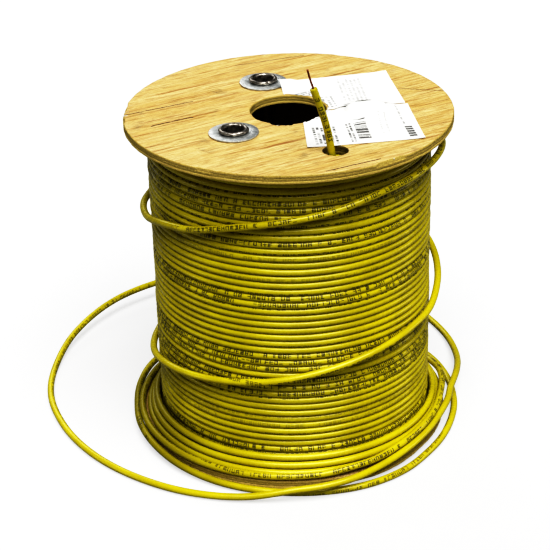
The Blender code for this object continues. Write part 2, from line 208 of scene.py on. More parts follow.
def jacket_paint(name, tone=1.0):
    """Yellow polyethylene jacket: satin, a little scuffed, with a worn ink legend of abstract strokes."""
    p = Paint(name)
    u, arc = p.wire_uv()
    x, y, z = p.place()
    here = p.vec(x, y, z)
    long = p.vec(u * 0.05, arc * 1.3, 0.0)
    broad = p.noise(here, 0.045, 2.0)
    mottle = p.noise(here, 0.55, 3.0)
    drawn = p.noise(long, 1.0, 3.0, 0.6)
    scuff = p.step(p.noise(p.vec(u * 0.16, arc * 2.2, 3.0), 1.0, 4.0, 0.65), 0.63, 0.74)

    # tone scales the jacket's base colour: 0.80 paints shade on the start end, 1.04 paints light on the loose turns
    colour = p.mix(p.step(broad, 0.3, 0.7), (0.400 * tone, 0.345 * tone, 0.0040), (0.490 * tone, 0.428 * tone, 0.0065))
    colour = p.mix(p.step(drawn, 0.35, 0.75) * 0.28, colour, (0.36 * tone, 0.285 * tone, 0.002))
    colour = p.mix(p.step(mottle, 0.62, 0.8) * 0.22, colour, (0.26 * tone, 0.185 * tone, 0.003))
    colour = p.mix(scuff * 0.14, colour, (0.66, 0.60, 0.14))

    # painted shade: the turns at the front left of the heap, low down, are darkened towards olive as if in shadow
    heap_shade = p.step(x, -78.0, -20.0, 1.0, 0.0) * z.below(21.0) * p.step(x * x + y * y, 9000.0, 9700.0, 1.0, 0.0)
    colour = p.mix(heap_shade * 0.70, colour, (0.112, 0.094, 0.003))

    # the legend: each cell draws some of six strokes, and some cells stay empty
    wob = p.noise(p.vec(u * 0.9, arc * 0.9, 7.0), 1.0, 1.0) - 0.5
    cell = ((u + wob * 0.35) / 2.52).floor()
    col = ((u + wob * 0.35) / 2.52).part() * 7.0
    row = (arc + wob * 0.2 + 1.16) / 0.332
    h = [p.hash(cell + 0.37 + 31.7 * k) for k in range(7)]
    strokes = (col.below(1.45) * h[0].below(0.78)).most(col.above(3.78) * h[1].below(0.6))
    strokes = strokes.most((col - 2.6).size().below(0.62) * h[2].below(0.25))
    strokes = strokes.most(row.below(1.42) * h[3].below(0.55)).most(row.above(5.6) * h[4].below(0.62))
    strokes = strokes.most((row - 3.5).size().below(0.60) * h[5].below(0.52))
    inside = col.below(5.2) * row.above(0.0) * row.below(7.0) * h[6].above(0.20)
    worn = p.step(p.noise(p.vec(u * 0.35, arc * 1.5, 1.0), 1.0, 3.0, 0.6), 0.30, 0.46)
    ink = strokes * inside * worn * p.attribute("ink")
    colour = p.mix(ink * 0.97, colour, (0.010, 0.009, 0.004))

    rough = p.step(mottle, 0.3, 0.75, 0.25, 0.31) + scuff * 0.16 + ink * 0.2
    relief = p.noise(p.vec(u * 0.8, arc * 0.9, 0.0), 1.0, 3.0, 0.6) * 0.6 + drawn * 0.6 + scuff * 0.3
    # the painted shade at the heap's front left also lowers the specular and the coat there
    return p.set(
        Base_Color=colour, Roughness=rough, Specular_IOR_Level=p.step(heap_shade, 0.0, 1.0, 0.52, 0.22),
        Specular_Tint=(1.0, 0.93, 0.62), Normal=p.bump(relief, 0.020, 0.6),
        Coat_Weight=p.step(heap_shade, 0.0, 1.0, 0.10, 0.02), Coat_Roughness=0.16,
    )


def grain_axes(p, x, y, turn):
    along = x * math.cos(turn) + y * math.sin(turn)
    across = y * math.cos(turn) - x * math.sin(turn)
    return along, across


def veneer_paint(name, turn, seed, splits=()):
    """Rotary-cut softwood veneer: broad growth bands, fine fibres, short dark pores, grime."""
    p = Paint(name)
    x, y, z = p.place()
    a, b = grain_axes(p, x, y, turn)
    drift = p.noise(p.vec(a * 0.009, b * 0.022, seed), 1.0, 2.0) - 0.5
    small = p.noise(p.vec(a * 0.045, b * 0.16, seed + 4.0), 1.0, 2.0) - 0.5
    bent = b + drift * 9.0 + small * 1.5
    ring = (bent * 0.118 + p.noise(p.vec(bent * 0.05, seed), 1.0, 1.0) * 1.4 + seed).part()
    late = p.step(ring, 0.55, 0.94) * (1.0 - p.step(ring, 0.955, 1.0))
    strength = p.step(p.noise(p.vec(a * 0.014, bent * 0.09, seed + 9.0), 1.0, 2.0), 0.40, 0.64)
    wide = p.noise(p.vec(a * 0.007, bent * 0.10, seed + 2.0), 1.0, 3.0, 0.6)
    fibre = p.noise(p.vec(a * 0.060, b * 0.80, seed), 1.0, 5.0, 0.78)
    hair = p.noise(p.vec(a * 0.12, b * 1.9, seed + 1.0), 1.0, 4.0, 0.72)
    cross = p.noise(p.vec(a * 1.5, b * 0.5, seed + 3.0), 1.0, 2.0, 0.6)
    streak = p.step(p.noise(p.vec(a * 0.013, b * 0.42, seed + 12.0), 1.0, 4.0, 0.66), 0.575, 0.625)
    thread = p.step(p.noise(p.vec(a * 0.030, b * 1.5, seed + 15.0), 1.0, 3.0, 0.60), 0.545, 0.64)
    saw = p.noise(p.vec(a * 0.75, b * 0.16, seed + 18.0), 1.0, 3.0, 0.7)
    pore = p.step(p.noise(p.vec(a * 0.075, b * 2.4, seed + 6.0), 1.0, 2.0, 0.5), 0.655, 0.72)
    grime = p.step(p.noise(p.vec(x, y, seed), 0.060, 5.0, 0.72), 0.555, 0.70)

    colour = p.mix(p.step(wide, 0.32, 0.68), (0.600, 0.475, 0.225), (0.500, 0.355, 0.125))
    colour = p.mix(late * strength * 0.58, colour, (0.330, 0.180, 0.045))
    colour = p.mix(p.step(fibre, 0.47, 0.58) * 0.74, colour, (0.330, 0.210, 0.056))
    colour = p.mix(p.step(saw, 0.52, 0.66) * 0.30, colour, (0.36, 0.25, 0.085))
    colour = p.mix(p.step(hair, 0.50, 0.70) * 0.55, colour, (0.80, 0.70, 0.45))
    colour = p.mix(p.step(cross, 0.56, 0.78) * 0.22, colour, (0.30, 0.21, 0.08))
    colour = p.mix(thread * 0.46, colour, (0.300, 0.150, 0.034))
    colour = p.mix(streak * 0.80, colour, (0.250, 0.112, 0.022))
    colour = p.mix(pore * 0.60, colour, (0.120, 0.060, 0.016))
    colour = p.mix(grime * p.step(fibre, 0.40, 0.58) * 0.80, colour, (0.170, 0.130, 0.055))
    # painted shade: each split is drawn as a near-black line, the shade inside it
    for start, stop, half in splits:
        along, side = local(p, x, y, start, stop)
        length = math.hypot(stop[0] - start[0], stop[1] - start[1])
        wander = (p.noise(p.vec(along * 0.10, seed), 1.0, 3.0) - 0.5) * 2.2
        width = p.noise(p.vec(along * 0.35, seed + 1.0), 1.0, 2.0) * (2.0 * half)
        gap = (side + wander).size().below(width) * along.above(0.0) * along.below(length)
        colour = p.mix(gap * 0.88, colour, (0.045, 0.020, 0.008))
    relief = fibre * 0.6 + hair * 0.4 + late * strength * 0.5 - pore * 0.6 - streak * 0.5 - thread * 0.3
    return p.set(
        Base_Color=colour, Roughness=p.step(fibre, 0.2, 0.8, 0.52, 0.72) + pore * 0.1, Specular_IOR_Level=0.28,
        Normal=p.bump(relief, 0.20, 0.85),
    )


def ply_edge_paint(name, z_low, thick, seed):
    """Sawn edge of three plies, with glue lines, torn fibres and dirt."""
    p = Paint(name)
    x, y, z = p.place()
    ang = p.math("ARCTAN2", y, x)
    t = (z - z_low) / thick + (p.noise(p.vec(ang * 6.0, seed), 1.0, 2.0) - 0.5) * 0.05
    streak = p.noise(p.vec(ang * 34.0, z * 2.1, seed), 1.0, 4.0, 0.65)
    fine = p.noise(p.vec(ang * 95.0, z * 1.7, seed + 2.0), 1.0, 4.0, 0.72)
    core = p.step(t, 0.33, 0.37) * (1.0 - p.step(t, 0.70, 0.74))
    glue = (1.0 - p.step((t - 0.35).size(), 0.012, 0.035)).most(1.0 - p.step((t - 0.72).size(), 0.012, 0.035))
    patch = p.noise(p.vec(ang * 3.0, z * 0.3, seed + 5.0), 1.0, 3.0)
    colour = p.mix(p.step(streak, 0.3, 0.75), (0.56, 0.445, 0.135), (0.415, 0.310, 0.080))
    colour = p.mix(core * 0.62, colour, p.mix(p.step(fine, 0.3, 0.7), (0.31, 0.240, 0.060), (0.175, 0.130, 0.030)))
    colour = p.mix(p.step(t, 0.70, 0.76) * 0.50, colour, (0.205, 0.150, 0.038))
    colour = p.mix(glue * 0.10, colour, (0.12, 0.080, 0.022))
    colour = p.mix(p.step(fine, 0.53, 0.64) * 0.55, colour, (0.13, 0.090, 0.022))
    colour = p.mix(p.step(fine, 0.47, 0.36) * 0.45, colour, (0.62, 0.50, 0.19))
    colour = p.mix(p.step(patch, 0.52, 0.72) * 0.35, colour, (0.16, 0.115, 0.040))
    # painted shade: the wall of the start hole is drawn near black, as the shade inside the hole
    dx, dy = x - START_HOLE[0], y - START_HOLE[1]
    colour = p.mix((dx * dx + dy * dy).below(64.0) * 0.72, colour, (0.030, 0.019, 0.008))
    relief = fine * 0.7 + streak * 0.5 - glue * 0.6
    return p.set(
        Base_Color=colour, Roughness=p.step(streak, 0.2, 0.8, 0.66, 0.85), Specular_IOR_Level=0.2,
        Normal=p.bump(relief, 0.28, 0.9),
    )


def metal_paint(name, light, dark, rough, speck, seed):
    """Plated or rolled steel: cloudy spangle, fine scratches round the axis, specks of rust or grime."""
    p = Paint(name)
    x, y, z = p.place()
    here = p.vec(x, y, z)
    cloud = p.noise(here, 0.5, 3.0)
    grit = p.noise(here, 3.5, 3.0, 0.6)
    scratch = p.noise(p.vec(x * 5.0 + y * 2.0, y * 0.5 - x * 0.2, seed), 1.0, 3.0, 0.7)
    spots = p.step(p.noise(p.vec(x, y, z + seed), 1.6, 3.0, 0.6), 0.60, 0.70)
    colour = p.mix(p.step(cloud, 0.3, 0.72), light, dark)
    colour = p.mix(p.step(grit, 0.55, 0.8) * 0.35, colour, dark)
    colour = p.mix(spots * speck, colour, (0.055, 0.040, 0.024))
    return p.set(
        Base_Color=colour, Metallic=0.92 - 0.0, Roughness=p.step(grit, 0.25, 0.8, rough, rough + 0.2) + spots * 0.15,
        Normal=p.bump(grit * 0.6 + scratch * 0.6 - spots * 0.8, 0.05, 0.8),
    )


def copper_paint():
    p = Paint("tarnished_copper")
    x, y, z = p.place()
    here = p.vec(x, y, z)
    tarnish = p.noise(here, 0.7, 4.0, 0.6)
    lines = p.noise(p.vec(x * 6.0, y * 6.0, z * 0.4), 1.0, 3.0, 0.6)
    colour = p.mix(p.step(tarnish, 0.35, 0.65), (0.40, 0.13, 0.055), (0.12, 0.040, 0.022))
    colour = p.mix(p.step(lines, 0.6, 0.8) * 0.5, colour, (0.62, 0.27, 0.14))
    return p.set(
        Base_Color=colour, Metallic=0.85, Roughness=p.step(tarnish, 0.3, 0.7, 0.34, 0.6),
        Normal=p.bump(lines + tarnish * 0.5, 0.05, 0.8),
    )


def board_paint():
    """Spiral-wound kraft board."""
    p = Paint("kraft_board")
    x, y, z = p.place()
    ang = p.math("ARCTAN2", y, x)
    wound = ((z / 62.0) + ang / (2 * math.pi)).part()
    seam = 1.0 - p.step((wound - 0.5).size(), 0.008, 0.02)
    fibre = p.noise(p.vec(ang * 40.0, z * 0.5, 0.0), 1.0, 4.0, 0.65)
    spot = p.noise(p.vec(x, y, z), 0.7, 3.0)
    colour = p.mix(p.step(fibre, 0.3, 0.75), (0.46, 0.33, 0.19), (0.33, 0.22, 0.12))
    colour = p.mix(p.step(spot, 0.62, 0.75) * 0.3, colour, (0.22, 0.15, 0.08))
    colour = p.mix(seam * 0.6, colour, (0.13, 0.09, 0.05))
    return p.set(
        Base_Color=colour, Roughness=p.step(fibre, 0.2, 0.8, 0.75, 0.9), Specular_IOR_Level=0.2,
        Normal=p.bump(fibre - seam, 0.18, 0.8),
    )


def local(p, x, y, origin, down):
    """Coordinates along and to the right of the direction `down`, from `origin`, in mm."""
    dx, dy = down[0] - origin[0], down[1] - origin[1]
    n = math.hypot(dx, dy)
    dx, dy = dx / n, dy / n
    along = (x - origin[0]) * dx + (y - origin[1]) * dy
    side = (y - origin[1]) * dx - (x - origin[0]) * dy
    return along, side


def inside_box(a, a0, a1, b, b0, b1):
    return a.above(a0) * a.below(a1) * b.above(b0) * b.below(b1)


def bar_rows(p, along, side, a0, a1, b0, b1, unit, seed):
    """Bars of uneven width across the strip, like a generic machine-read mark with no meaning."""
    k = (along / unit).floor()
    on = p.hash(k + seed).below(0.53)
    return on * inside_box(along, a0, a1, side, b0, b1)


def tiny_rows(p, along, side, a0, a1, b0, b1, pitch, high, wide, seed):
    """Rows of small dashes that stand for fine print."""
    line = ((side - b0) / pitch).floor()
    in_line = ((side - b0) / pitch).part().below(high / pitch)
    k = (along / wide).floor()
    on = p.hash(k * 1.31 + line * 17.7 + seed)
    notch = p.hash((along / (wide * 0.42)).floor() * 2.3 + line * 5.1 + seed).above(0.28)
    return on.above(0.2) * notch * in_line * inside_box(along, a0, a1, side, b0, b1)


def label_paint(name, lower):
    """Coated paper with generic bars and dashes; no words, numbers or marks."""
    p = Paint(name)
    x, y, z = p.place()
    here = p.vec(x, y, 0.0)
    fibre = p.noise(here, 2.2, 4.0, 0.6)
    cloud = p.noise(here, 0.09, 3.0)
    crease = 1.0 - p.step((p.noise(p.vec(x * 0.05, y * 0.12, 2.0), 1.0, 2.0) - 0.5).size(), 0.004, 0.016)
    paper = p.mix(p.step(cloud, 0.35, 0.7), (0.74, 0.737, 0.715), (0.69, 0.687, 0.66))
    paper = p.mix(p.step(fibre, 0.55, 0.8) * 0.12, paper, (0.56, 0.55, 0.51))
    wobble = (p.noise(here, 1.4, 2.0) - 0.5) * 0.25
    dark = (0.035, 0.033, 0.030)
    if lower:
        a, b = local(p, x + wobble, y, (33.6, -20.4), (36.4, -44.9))
        marks = bar_rows(p, a, b, 0.0, 24.5, 0.0, 6.6, 0.62, 3.0)
        marks = marks.most(tiny_rows(p, a, b, 3.0, 27.5, -4.4, -0.9, 1.75, 1.15, 0.85, 8.0))
        c, d = local(p, x + wobble, y, (10.8, -26.1), (13.1, -52.6))
        marks = marks.most(tiny_rows(p, c, d, 2.0, 25.0, 1.0, 13.5, 2.15, 1.35, 0.95, 21.0))
        e, f = local(p, x, y, (60.3, -28.5), (63.0, -46.1))
        block = inside_box(e, 0.5, 15.5, f, 0.2, 4.2) * (e / 3.1).part().below(0.78)
        marks = marks.most(block)
        marks = marks.most(tiny_rows(p, e, f, -27.0, -2.5, 0.6, 2.6, 2.4, 1.0, 0.8, 40.0) * 0.75)
        g, h = local(p, x, y, (46.5, -16.0), (49.0, -43.0))
        marks = marks.most(tiny_rows(p, g, h, 0.0, 22.0, 0.5, 7.0, 3.2, 1.0, 1.1, 55.0) * 0.35)
    else:
        a, b = local(p, x + wobble, y, (29.6, 2.1), (32.0, -15.4))
        marks = bar_rows(p, a, b, 0.0, 17.5, 0.2, 7.3, 0.62, 14.0)
        c, d = local(p, x, y, (27.3, 42.4), (31.0, 6.9))
        marks = marks.most(tiny_rows(p, c, d, 0.0, 34.0, 0.0, 13.0, 2.3, 1.2, 1.0, 31.0) * 0.42)
        e, f = local(p, x, y, (3.5, 19.0), (13.4, 24.6))
        marks = marks.most(tiny_rows(p, e, f, 0.0, 10.5, -4.0, 2.5, 2.1, 1.4, 1.2, 61.0) * 0.8)
        g, h = local(p, x, y, (10.0, 14.0), (13.5, -4.0))
        marks = marks.most(tiny_rows(p, g, h, 0.0, 16.0, 0.0, 14.0, 2.6, 1.4, 1.0, 77.0) * 0.75)
    fade = p.step(p.noise(here, 0.8, 3.0), 0.25, 0.42)
    colour = p.mix(marks * fade * 0.9, paper, dark)
    colour = p.mix(crease * 0.15, colour, (0.55, 0.54, 0.50))
    return p.set(
        Base_Color=colour, Roughness=p.step(fibre, 0.2, 0.8, 0.42, 0.58), Specular_IOR_Level=0.35,
        Normal=p.bump(fibre * 0.3 + cloud * 1.5 - crease * 0.5, 0.06, 0.7),
    )


def torn_paint():
    p = Paint("torn_paper")
    x, y, z = p.place()
    fibre = p.noise(p.vec(x, y, z), 1.6, 4.0, 0.65)
    colour = p.mix(p.step(fibre, 0.3, 0.7), (0.74, 0.73, 0.70), (0.40, 0.39, 0.37))
    return p.set(Base_Color=colour, Roughness=p.step(fibre, 0.2, 0.8, 0.6, 0.85), Normal=p.bump(fibre, 0.2, 0.9))


# ---------------------------------------------------------------- meshes
def build(name, verts, faces, mats, face_mat=None, uv=None, ink=None, crease=None):
    """A mesh object from numpy arrays. `faces` is a list of index arrays, each with rows of one length."""
    mesh = bpy.data.meshes.new(name)
    v = np.asarray(verts, float).copy()
    v[:, 2] -= ORIGIN_HEIGHT
    v *= MM
    loops = np.concatenate([f.reshape(-1) for f in faces]).astype(np.int32)
    sizes = np.concatenate([np.full(len(f), f.shape[1]) for f in faces]).astype(np.int32)
    starts = np.concatenate([[0], np.cumsum(sizes)[:-1]]).astype(np.int32)
    volume = 0.0
    at = 0
    for f in faces:
        a = v[f[:, 0]]
        for k in range(1, f.shape[1] - 1):
            volume += np.einsum("ij,ij->", a, np.cross(v[f[:, k]], v[f[:, k + 1]]))
    order = np.arange(len(loops))
    if volume < 0:
        for s, n in zip(starts, sizes):
            order[s : s + n] = order[s : s + n][::-1]
        loops = loops[order]
    mesh.vertices.add(len(v))
    mesh.vertices.foreach_set("co", v.astype(np.float32).ravel())
    mesh.loops.add(len(loops))
    mesh.loops.foreach_set("vertex_index", loops)
    mesh.polygons.add(len(sizes))
    mesh.polygons.foreach_set("loop_start", starts)
    mesh.update(calc_edges=True)
    mesh.polygons.foreach_set("use_smooth", np.ones(len(sizes), bool))
    if uv is not None:
        layer = mesh.uv_layers.new(name="wire")
        layer.data.foreach_set("uv", np.asarray(uv, np.float32)[order].ravel())
    if ink is not None:
        mesh.attributes.new("ink", "FLOAT", "POINT").data.foreach_set("value", np.asarray(ink, np.float32))
    for m in mats if isinstance(mats, (list, tuple)) else [mats]:
        mesh.materials.append(m)
    if face_mat is not None:
        mesh.polygons.foreach_set("material_index", np.asarray(face_mat, np.int32))
    if crease is not None:
        mesh.set_sharp_from_angle(angle=math.radians(crease))
    mesh.validate()
    obj = bpy.data.objects.new(name, mesh)
    bpy.context.scene.collection.objects.link(obj)
    return obj


def settle(obj, body, slot, *nodes):
    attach(obj, body)
    if nodes:
        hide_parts(*nodes)
    return obj


def sweep(name, path, radius, sides, closed, mat, twist=None, ink=None, side_hint=None, start_mm=0.0, dome=0.0):
    """A wire along `path`, which turns counter-clockwise about +Z. twist is the print line's angle in the
    section, from outwards (0) up (90 degrees)."""
    P = np.asarray(path, float)
    n = len(P)
    if closed:
        tan = np.roll(P, -1, 0) - np.roll(P, 1, 0)
        seg = np.linalg.norm(np.roll(P, -1, 0) - P, axis=1)
    else:
        tan = np.gradient(P, axis=0)
        seg = np.linalg.norm(np.diff(P, axis=0), axis=1)
    tan /= np.linalg.norm(tan, axis=1)[:, None]
    out = P * (1, 1, 0) if side_hint is None else np.tile(np.asarray(side_hint, float), (n, 1))
    out -= np.einsum("ij,ij->i", out, tan)[:, None] * tan
    out /= np.linalg.norm(out, axis=1)[:, None]
    up = np.cross(out, tan)
    along = start_mm + np.concatenate([[0.0], np.cumsum(seg)])
    tw = np.zeros(n) if twist is None else np.radians(np.asarray(twist, float))
    R = np.broadcast_to(np.asarray(radius, float), (n,))
    share = np.arange(sides) / sides - 0.5
    phi = tw[:, None] + 2 * np.pi * share[None, :]
    ring = P[:, None] + R[:, None, None] * (np.cos(phi)[..., None] * out[:, None] + np.sin(phi)[..., None] * up[:, None])
    verts = ring.reshape(-1, 3)
    rows = n if closed else n - 1
    i, j = np.meshgrid(np.arange(rows), np.arange(sides), indexing="ij")
    i2, j2 = (i + 1) % n, (j + 1) % sides
    quads = np.stack([i * sides + j, i2 * sides + j, i2 * sides + j2, i * sides + j2], -1).reshape(-1, 4)
    u0, u1 = along[i], along[i + 1] if closed else along[i + 1]
    v0, v1 = j / sides - 0.5, (j + 1) / sides - 0.5
    uv = np.stack([np.stack([u0, v0], -1), np.stack([u1, v0], -1), np.stack([u1, v1], -1), np.stack([u0, v1], -1)], 2)
    uv = uv.reshape(-1, 2)
    faces = [quads]
    extra_ink = []
    if not closed:
        for end, flip in ((0, False), (n - 1, True)):
            base = end * sides
            first = len(verts)
            sign = -1.0 if end == 0 else 1.0
            lip = P[end] + (ring[end] - P[end]) * 0.9 + sign * tan[end] * R[end] * 0.12
            tip = P[end] + sign * tan[end] * R[end] * (0.12 + dome)
            verts = np.concatenate([verts, lip, tip[None]])
            k = np.arange(sides)
            k2 = (k + 1) % sides
            band = np.stack([base + k, base + k2, first + k2, first + k], -1)
            fan = np.stack([first + k, first + k2, np.full(sides, first + sides)], -1)
            if flip:
                band, fan = band[:, ::-1], fan[:, ::-1]
            faces += [band, fan]
            uv = np.concatenate([uv, np.full((sides * 4, 2), 0.45), np.full((sides * 3, 2), 0.45)])
            extra_ink += [0.0] * (sides + 1)
    values = np.ones(n) if ink is None else np.broadcast_to(np.asarray(ink, float), (n,))
    values = np.concatenate([np.repeat(values, sides), extra_ink])
    return build(name, verts, faces, mat, uv=uv, ink=values)


def lathe(name, profile, count, mat, centre=(0.0, 0.0), lobes=None, crease=40.0):
    """A closed (radius, height) profile turned about the vertical line through `centre`."""
    prof = np.asarray(profile, float)
    m = len(prof)
    ang = 2 * np.pi * np.arange(count) / count
    r = np.repeat(prof[None, :, 0], count, 0)
    z = np.repeat(prof[None, :, 1], count, 0)
    if lobes is not None:
        dr, dz = lobes(ang[:, None], r, z)
        r, z = r + dr, z + dz
    verts = np.stack([centre[0] + r * np.cos(ang)[:, None], centre[1] + r * np.sin(ang)[:, None], z], -1).reshape(-1, 3)
    i, j = np.meshgrid(np.arange(count), np.arange(m), indexing="ij")
    i2, j2 = (i + 1) % count, (j + 1) % m
    quads = np.stack([i * m + j, i2 * m + j, i2 * m + j2, i * m + j2], -1).reshape(-1, 4)
    return build(name, verts, [quads], mat, crease=crease)


def within(points, loop):
    """Which of the points lie inside the closed loop."""
    x, y = points[:, 0][:, None], points[:, 1][:, None]
    a, b = loop, np.roll(loop, -1, 0)
    cross = (a[None, :, 1] > y) != (b[None, :, 1] > y)
    with np.errstate(divide="ignore", invalid="ignore"):
        at = (b[None, :, 0] - a[None, :, 0]) * (y - a[None, :, 1]) / (b[None, :, 1] - a[None, :, 1]) + a[None, :, 0]
    return (cross & (x < at)).sum(1) % 2 == 1


def inward(loop, hole):
    """Unit vectors at each loop point that lead into the sheet."""
    t = np.roll(loop, -1, 0) - np.roll(loop, 1, 0)
    t /= np.linalg.norm(t, axis=1)[:, None]
    n = np.stack([-t[:, 1], t[:, 0]], -1)
    area = 0.5 * np.sum(loop[:, 0] * np.roll(loop[:, 1], -1) - np.roll(loop[:, 0], -1) * loop[:, 1])
    if (area > 0) == hole:
        n = -n
    return n


def sheet_faces(loops, free, lines=()):
    """Triangles over the area between the first loop and the others, through the free points."""
    points, edges = [], []
    for loop in loops:
        s = len(points)
        points += [tuple(q) for q in loop]
        edges += [(s + i, s + (i + 1) % len(loop)) for i in range(len(loop))]
    for line in lines:
        s = len(points)
        points += [tuple(q) for q in line]
        edges += [(s + i, s + i + 1) for i in range(len(line) - 1)]
    points += [tuple(q) for q in free]
    out = delaunay_2d_cdt([Vector(q) for q in points], edges, [], 1, 1e-5)
    new = np.array([tuple(q) for q in out[0]])
    tris = np.array([tuple(f) for f in out[2] if len(f) == 3], int)
    mid = new[tris].mean(1)
    keep = within(mid, np.asarray(loops[0]))
    for loop in loops[1:]:
        keep &= ~within(mid, np.asarray(loop))
    where = np.full(len(points), -1)
    for k, olds in enumerate(out[3]):
        for o in olds:
            where[o] = k
    return new, tris[keep], where


def plate(name, loops, top, bottom, stations, mats, spacing, nudge=None, lines=(), crease=38.0, low_free=False, z_jit=0.0):
    """A sheet with holes. loops[0] is its outline. stations run down the wall: (inset, share of the way down,
    drop in mm). nudge(loop number, station number, points) gives extra inset at each point of a wall ring."""
    loops = [np.asarray(q, float) for q in loops]
    normals = [inward(q, k > 0) for k, q in enumerate(loops)]
    rings = []
    for k, loop in enumerate(loops):
        mine = []
        for s, (inset, share, drop) in enumerate(stations):
            extra = nudge(k, s, loop) if nudge else 0.0
            q = loop + normals[k] * (inset + extra)[:, None] if np.ndim(inset + extra) else loop + normals[k] * (inset + extra)
            high, low = top(q[:, 0], q[:, 1]), bottom(q[:, 0], q[:, 1])
            mine.append(np.column_stack([q, high + (low - high) * share - drop]))
        rings.append(mine)
    box_low, box_high = loops[0].min(0), loops[0].max(0)
    gx = np.arange(box_low[0], box_high[0], spacing)
    gy = np.arange(box_low[1], box_high[1], spacing * 0.87)
    X, Y = np.meshgrid(gx, gy)
    X = X + (np.arange(len(gy)) % 2)[:, None] * spacing / 2
    grid = np.stack([X.ravel(), Y.ravel()], -1)

    def clear_points(which):
        edge_loops = [mine[which][:, :2] for mine in rings]
        keep = within(grid, edge_loops[0])
        for q in edge_loops[1:]:
            keep &= ~within(grid, q)
        pts = grid[keep]
        for q in edge_loops + [np.asarray(line) for line in lines]:
            near = np.full(len(pts), 1e9)
            for s in range(0, len(q), 64):
                near = np.minimum(near, np.linalg.norm(pts[:, None] - q[None, s : s + 64], axis=2).min(1))
            pts = pts[near > spacing * 0.55]
        return edge_loops, pts

    verts, faces, kinds = [], [], []
    count = 0
    index = []
    for mine in rings:
        rows = []
        for ring in mine:
            rows.append(count + np.arange(len(ring)))
            verts.append(ring)
            count += len(ring)
        index.append(rows)
    for rows in index:
        for a, b in zip(rows[:-1], rows[1:]):
            faces.append(np.stack([a, b, np.roll(b, -1), np.roll(a, -1)], -1))
            kinds.append(np.full(len(a), 1 if len(mats) > 1 else 0))
    # the walls of holes and of the outline turn opposite ways, so each is checked on its own below
    for which, surface, up in ((0, top, True), (-1, bottom, False)):
        edge_loops, free = clear_points(which)
        if not up and not low_free:
            free = free[:0]
        new, tris, where = sheet_faces(edge_loops, free, lines if up else ())
        map_to = np.full(len(new), -1)
        at = 0
        for k, q in enumerate(edge_loops):
            for i in range(len(q)):
                map_to[where[at + i]] = index[k][which][i]
            at += len(q)
        own = np.where(map_to < 0)[0]
        map_to[own] = count + np.arange(len(own))
        drop = stations[which][2] if up else stations[-1][2]
        z = surface(new[own, 0], new[own, 1]) - drop
        verts.append(np.column_stack([new[own], z]))
        count += len(own)
        t = map_to[tris]
        a, b, c = (np.concatenate(verts)[t[:, k]] for k in range(3))
        area = (b[:, 0] - a[:, 0]) * (c[:, 1] - a[:, 1]) - (c[:, 0] - a[:, 0]) * (b[:, 1] - a[:, 1])
        wrong = (area < 0) if up else (area > 0)
        t[wrong] = t[wrong][:, ::-1]
        faces.append(t)
        kinds.append(np.full(len(t), 0 if up or len(mats) < 3 else 2))
    allv = np.concatenate(verts)
    # point every wall face away from the sheet
    done = 0
    for k, rows in enumerate(index):
        for _ in rows[:-1]:
            f = faces[done]
            a, b, c = allv[f[:, 0]], allv[f[:, 1]], allv[f[:, 3]]
            face_n = np.cross(b - a, c - a)[:, :2].sum(0)
            side = np.einsum("ij,ij->", np.cross(b - a, c - a)[:, :2], normals[k])
            if side > 0:
                faces[done] = f[:, ::-1]
            done += 1
    return build(name, allv, faces, mats, face_mat=np.concatenate(kinds), crease=crease)


def smooth_noise(count, strength, waves, seed):
    """A periodic line of soft bumps."""
    rng = np.random.default_rng(seed)
    a = 2 * np.pi * np.arange(count) / count
    total = np.zeros(count)
    for w in waves:
        total += rng.uniform(0.4, 1.0) * np.sin(w * a + rng.uniform(0, 6.28))
    return strength * total / math.sqrt(len(waves))


def ring_through(stations, count):
    """Closed centre line through (degrees, radius, height) stations in rising angle."""
    n = len(stations)

    def slope(i, k):
        before, after = stations[i - 1], stations[(i + 1) % n]
        return (after[k] - before[k]) / ((after[0] - before[0]) % 360.0)

    points = []
    for j in range(count):
        angle = stations[0][0] + 360.0 * j / count
        i = max(k for k in range(n) if stations[k][0] <= angle + 1e-9)
        a, b = stations[i], stations[(i + 1) % n]
        width = (b[0] - a[0]) % 360.0
        t = (angle - a[0]) / width
        row = []
        for k in (1, 2):
            m0, m1 = slope(i, k) * width, slope((i + 1) % n, k) * width
            row.append(
                a[k] * (2 * t**3 - 3 * t**2 + 1) + m0 * (t**3 - 2 * t**2 + t) + b[k] * (3 * t**2 - 2 * t**3)
                + m1 * (t**3 - t**2)
            )
        points.append((row[0] * math.cos(math.radians(angle)), row[0] * math.sin(math.radians(angle)), row[1]))
    return np.array(points)


def circle(radius, count, centre=(0.0, 0.0)):
    a = 2 * np.pi * np.arange(count) / count
    return np.column_stack([centre[0] + radius * np.cos(a), centre[1] + radius * np.sin(a)])


# ---------------------------------------------------------------- materials in use
JACKET = jacket_paint("yellow_jacket_print")
# painted light: the loose turns get a copy of the jacket 4 % lighter
JACKET_SLACK_LIT = jacket_paint("yellow_jacket_slack_lit", 1.04)
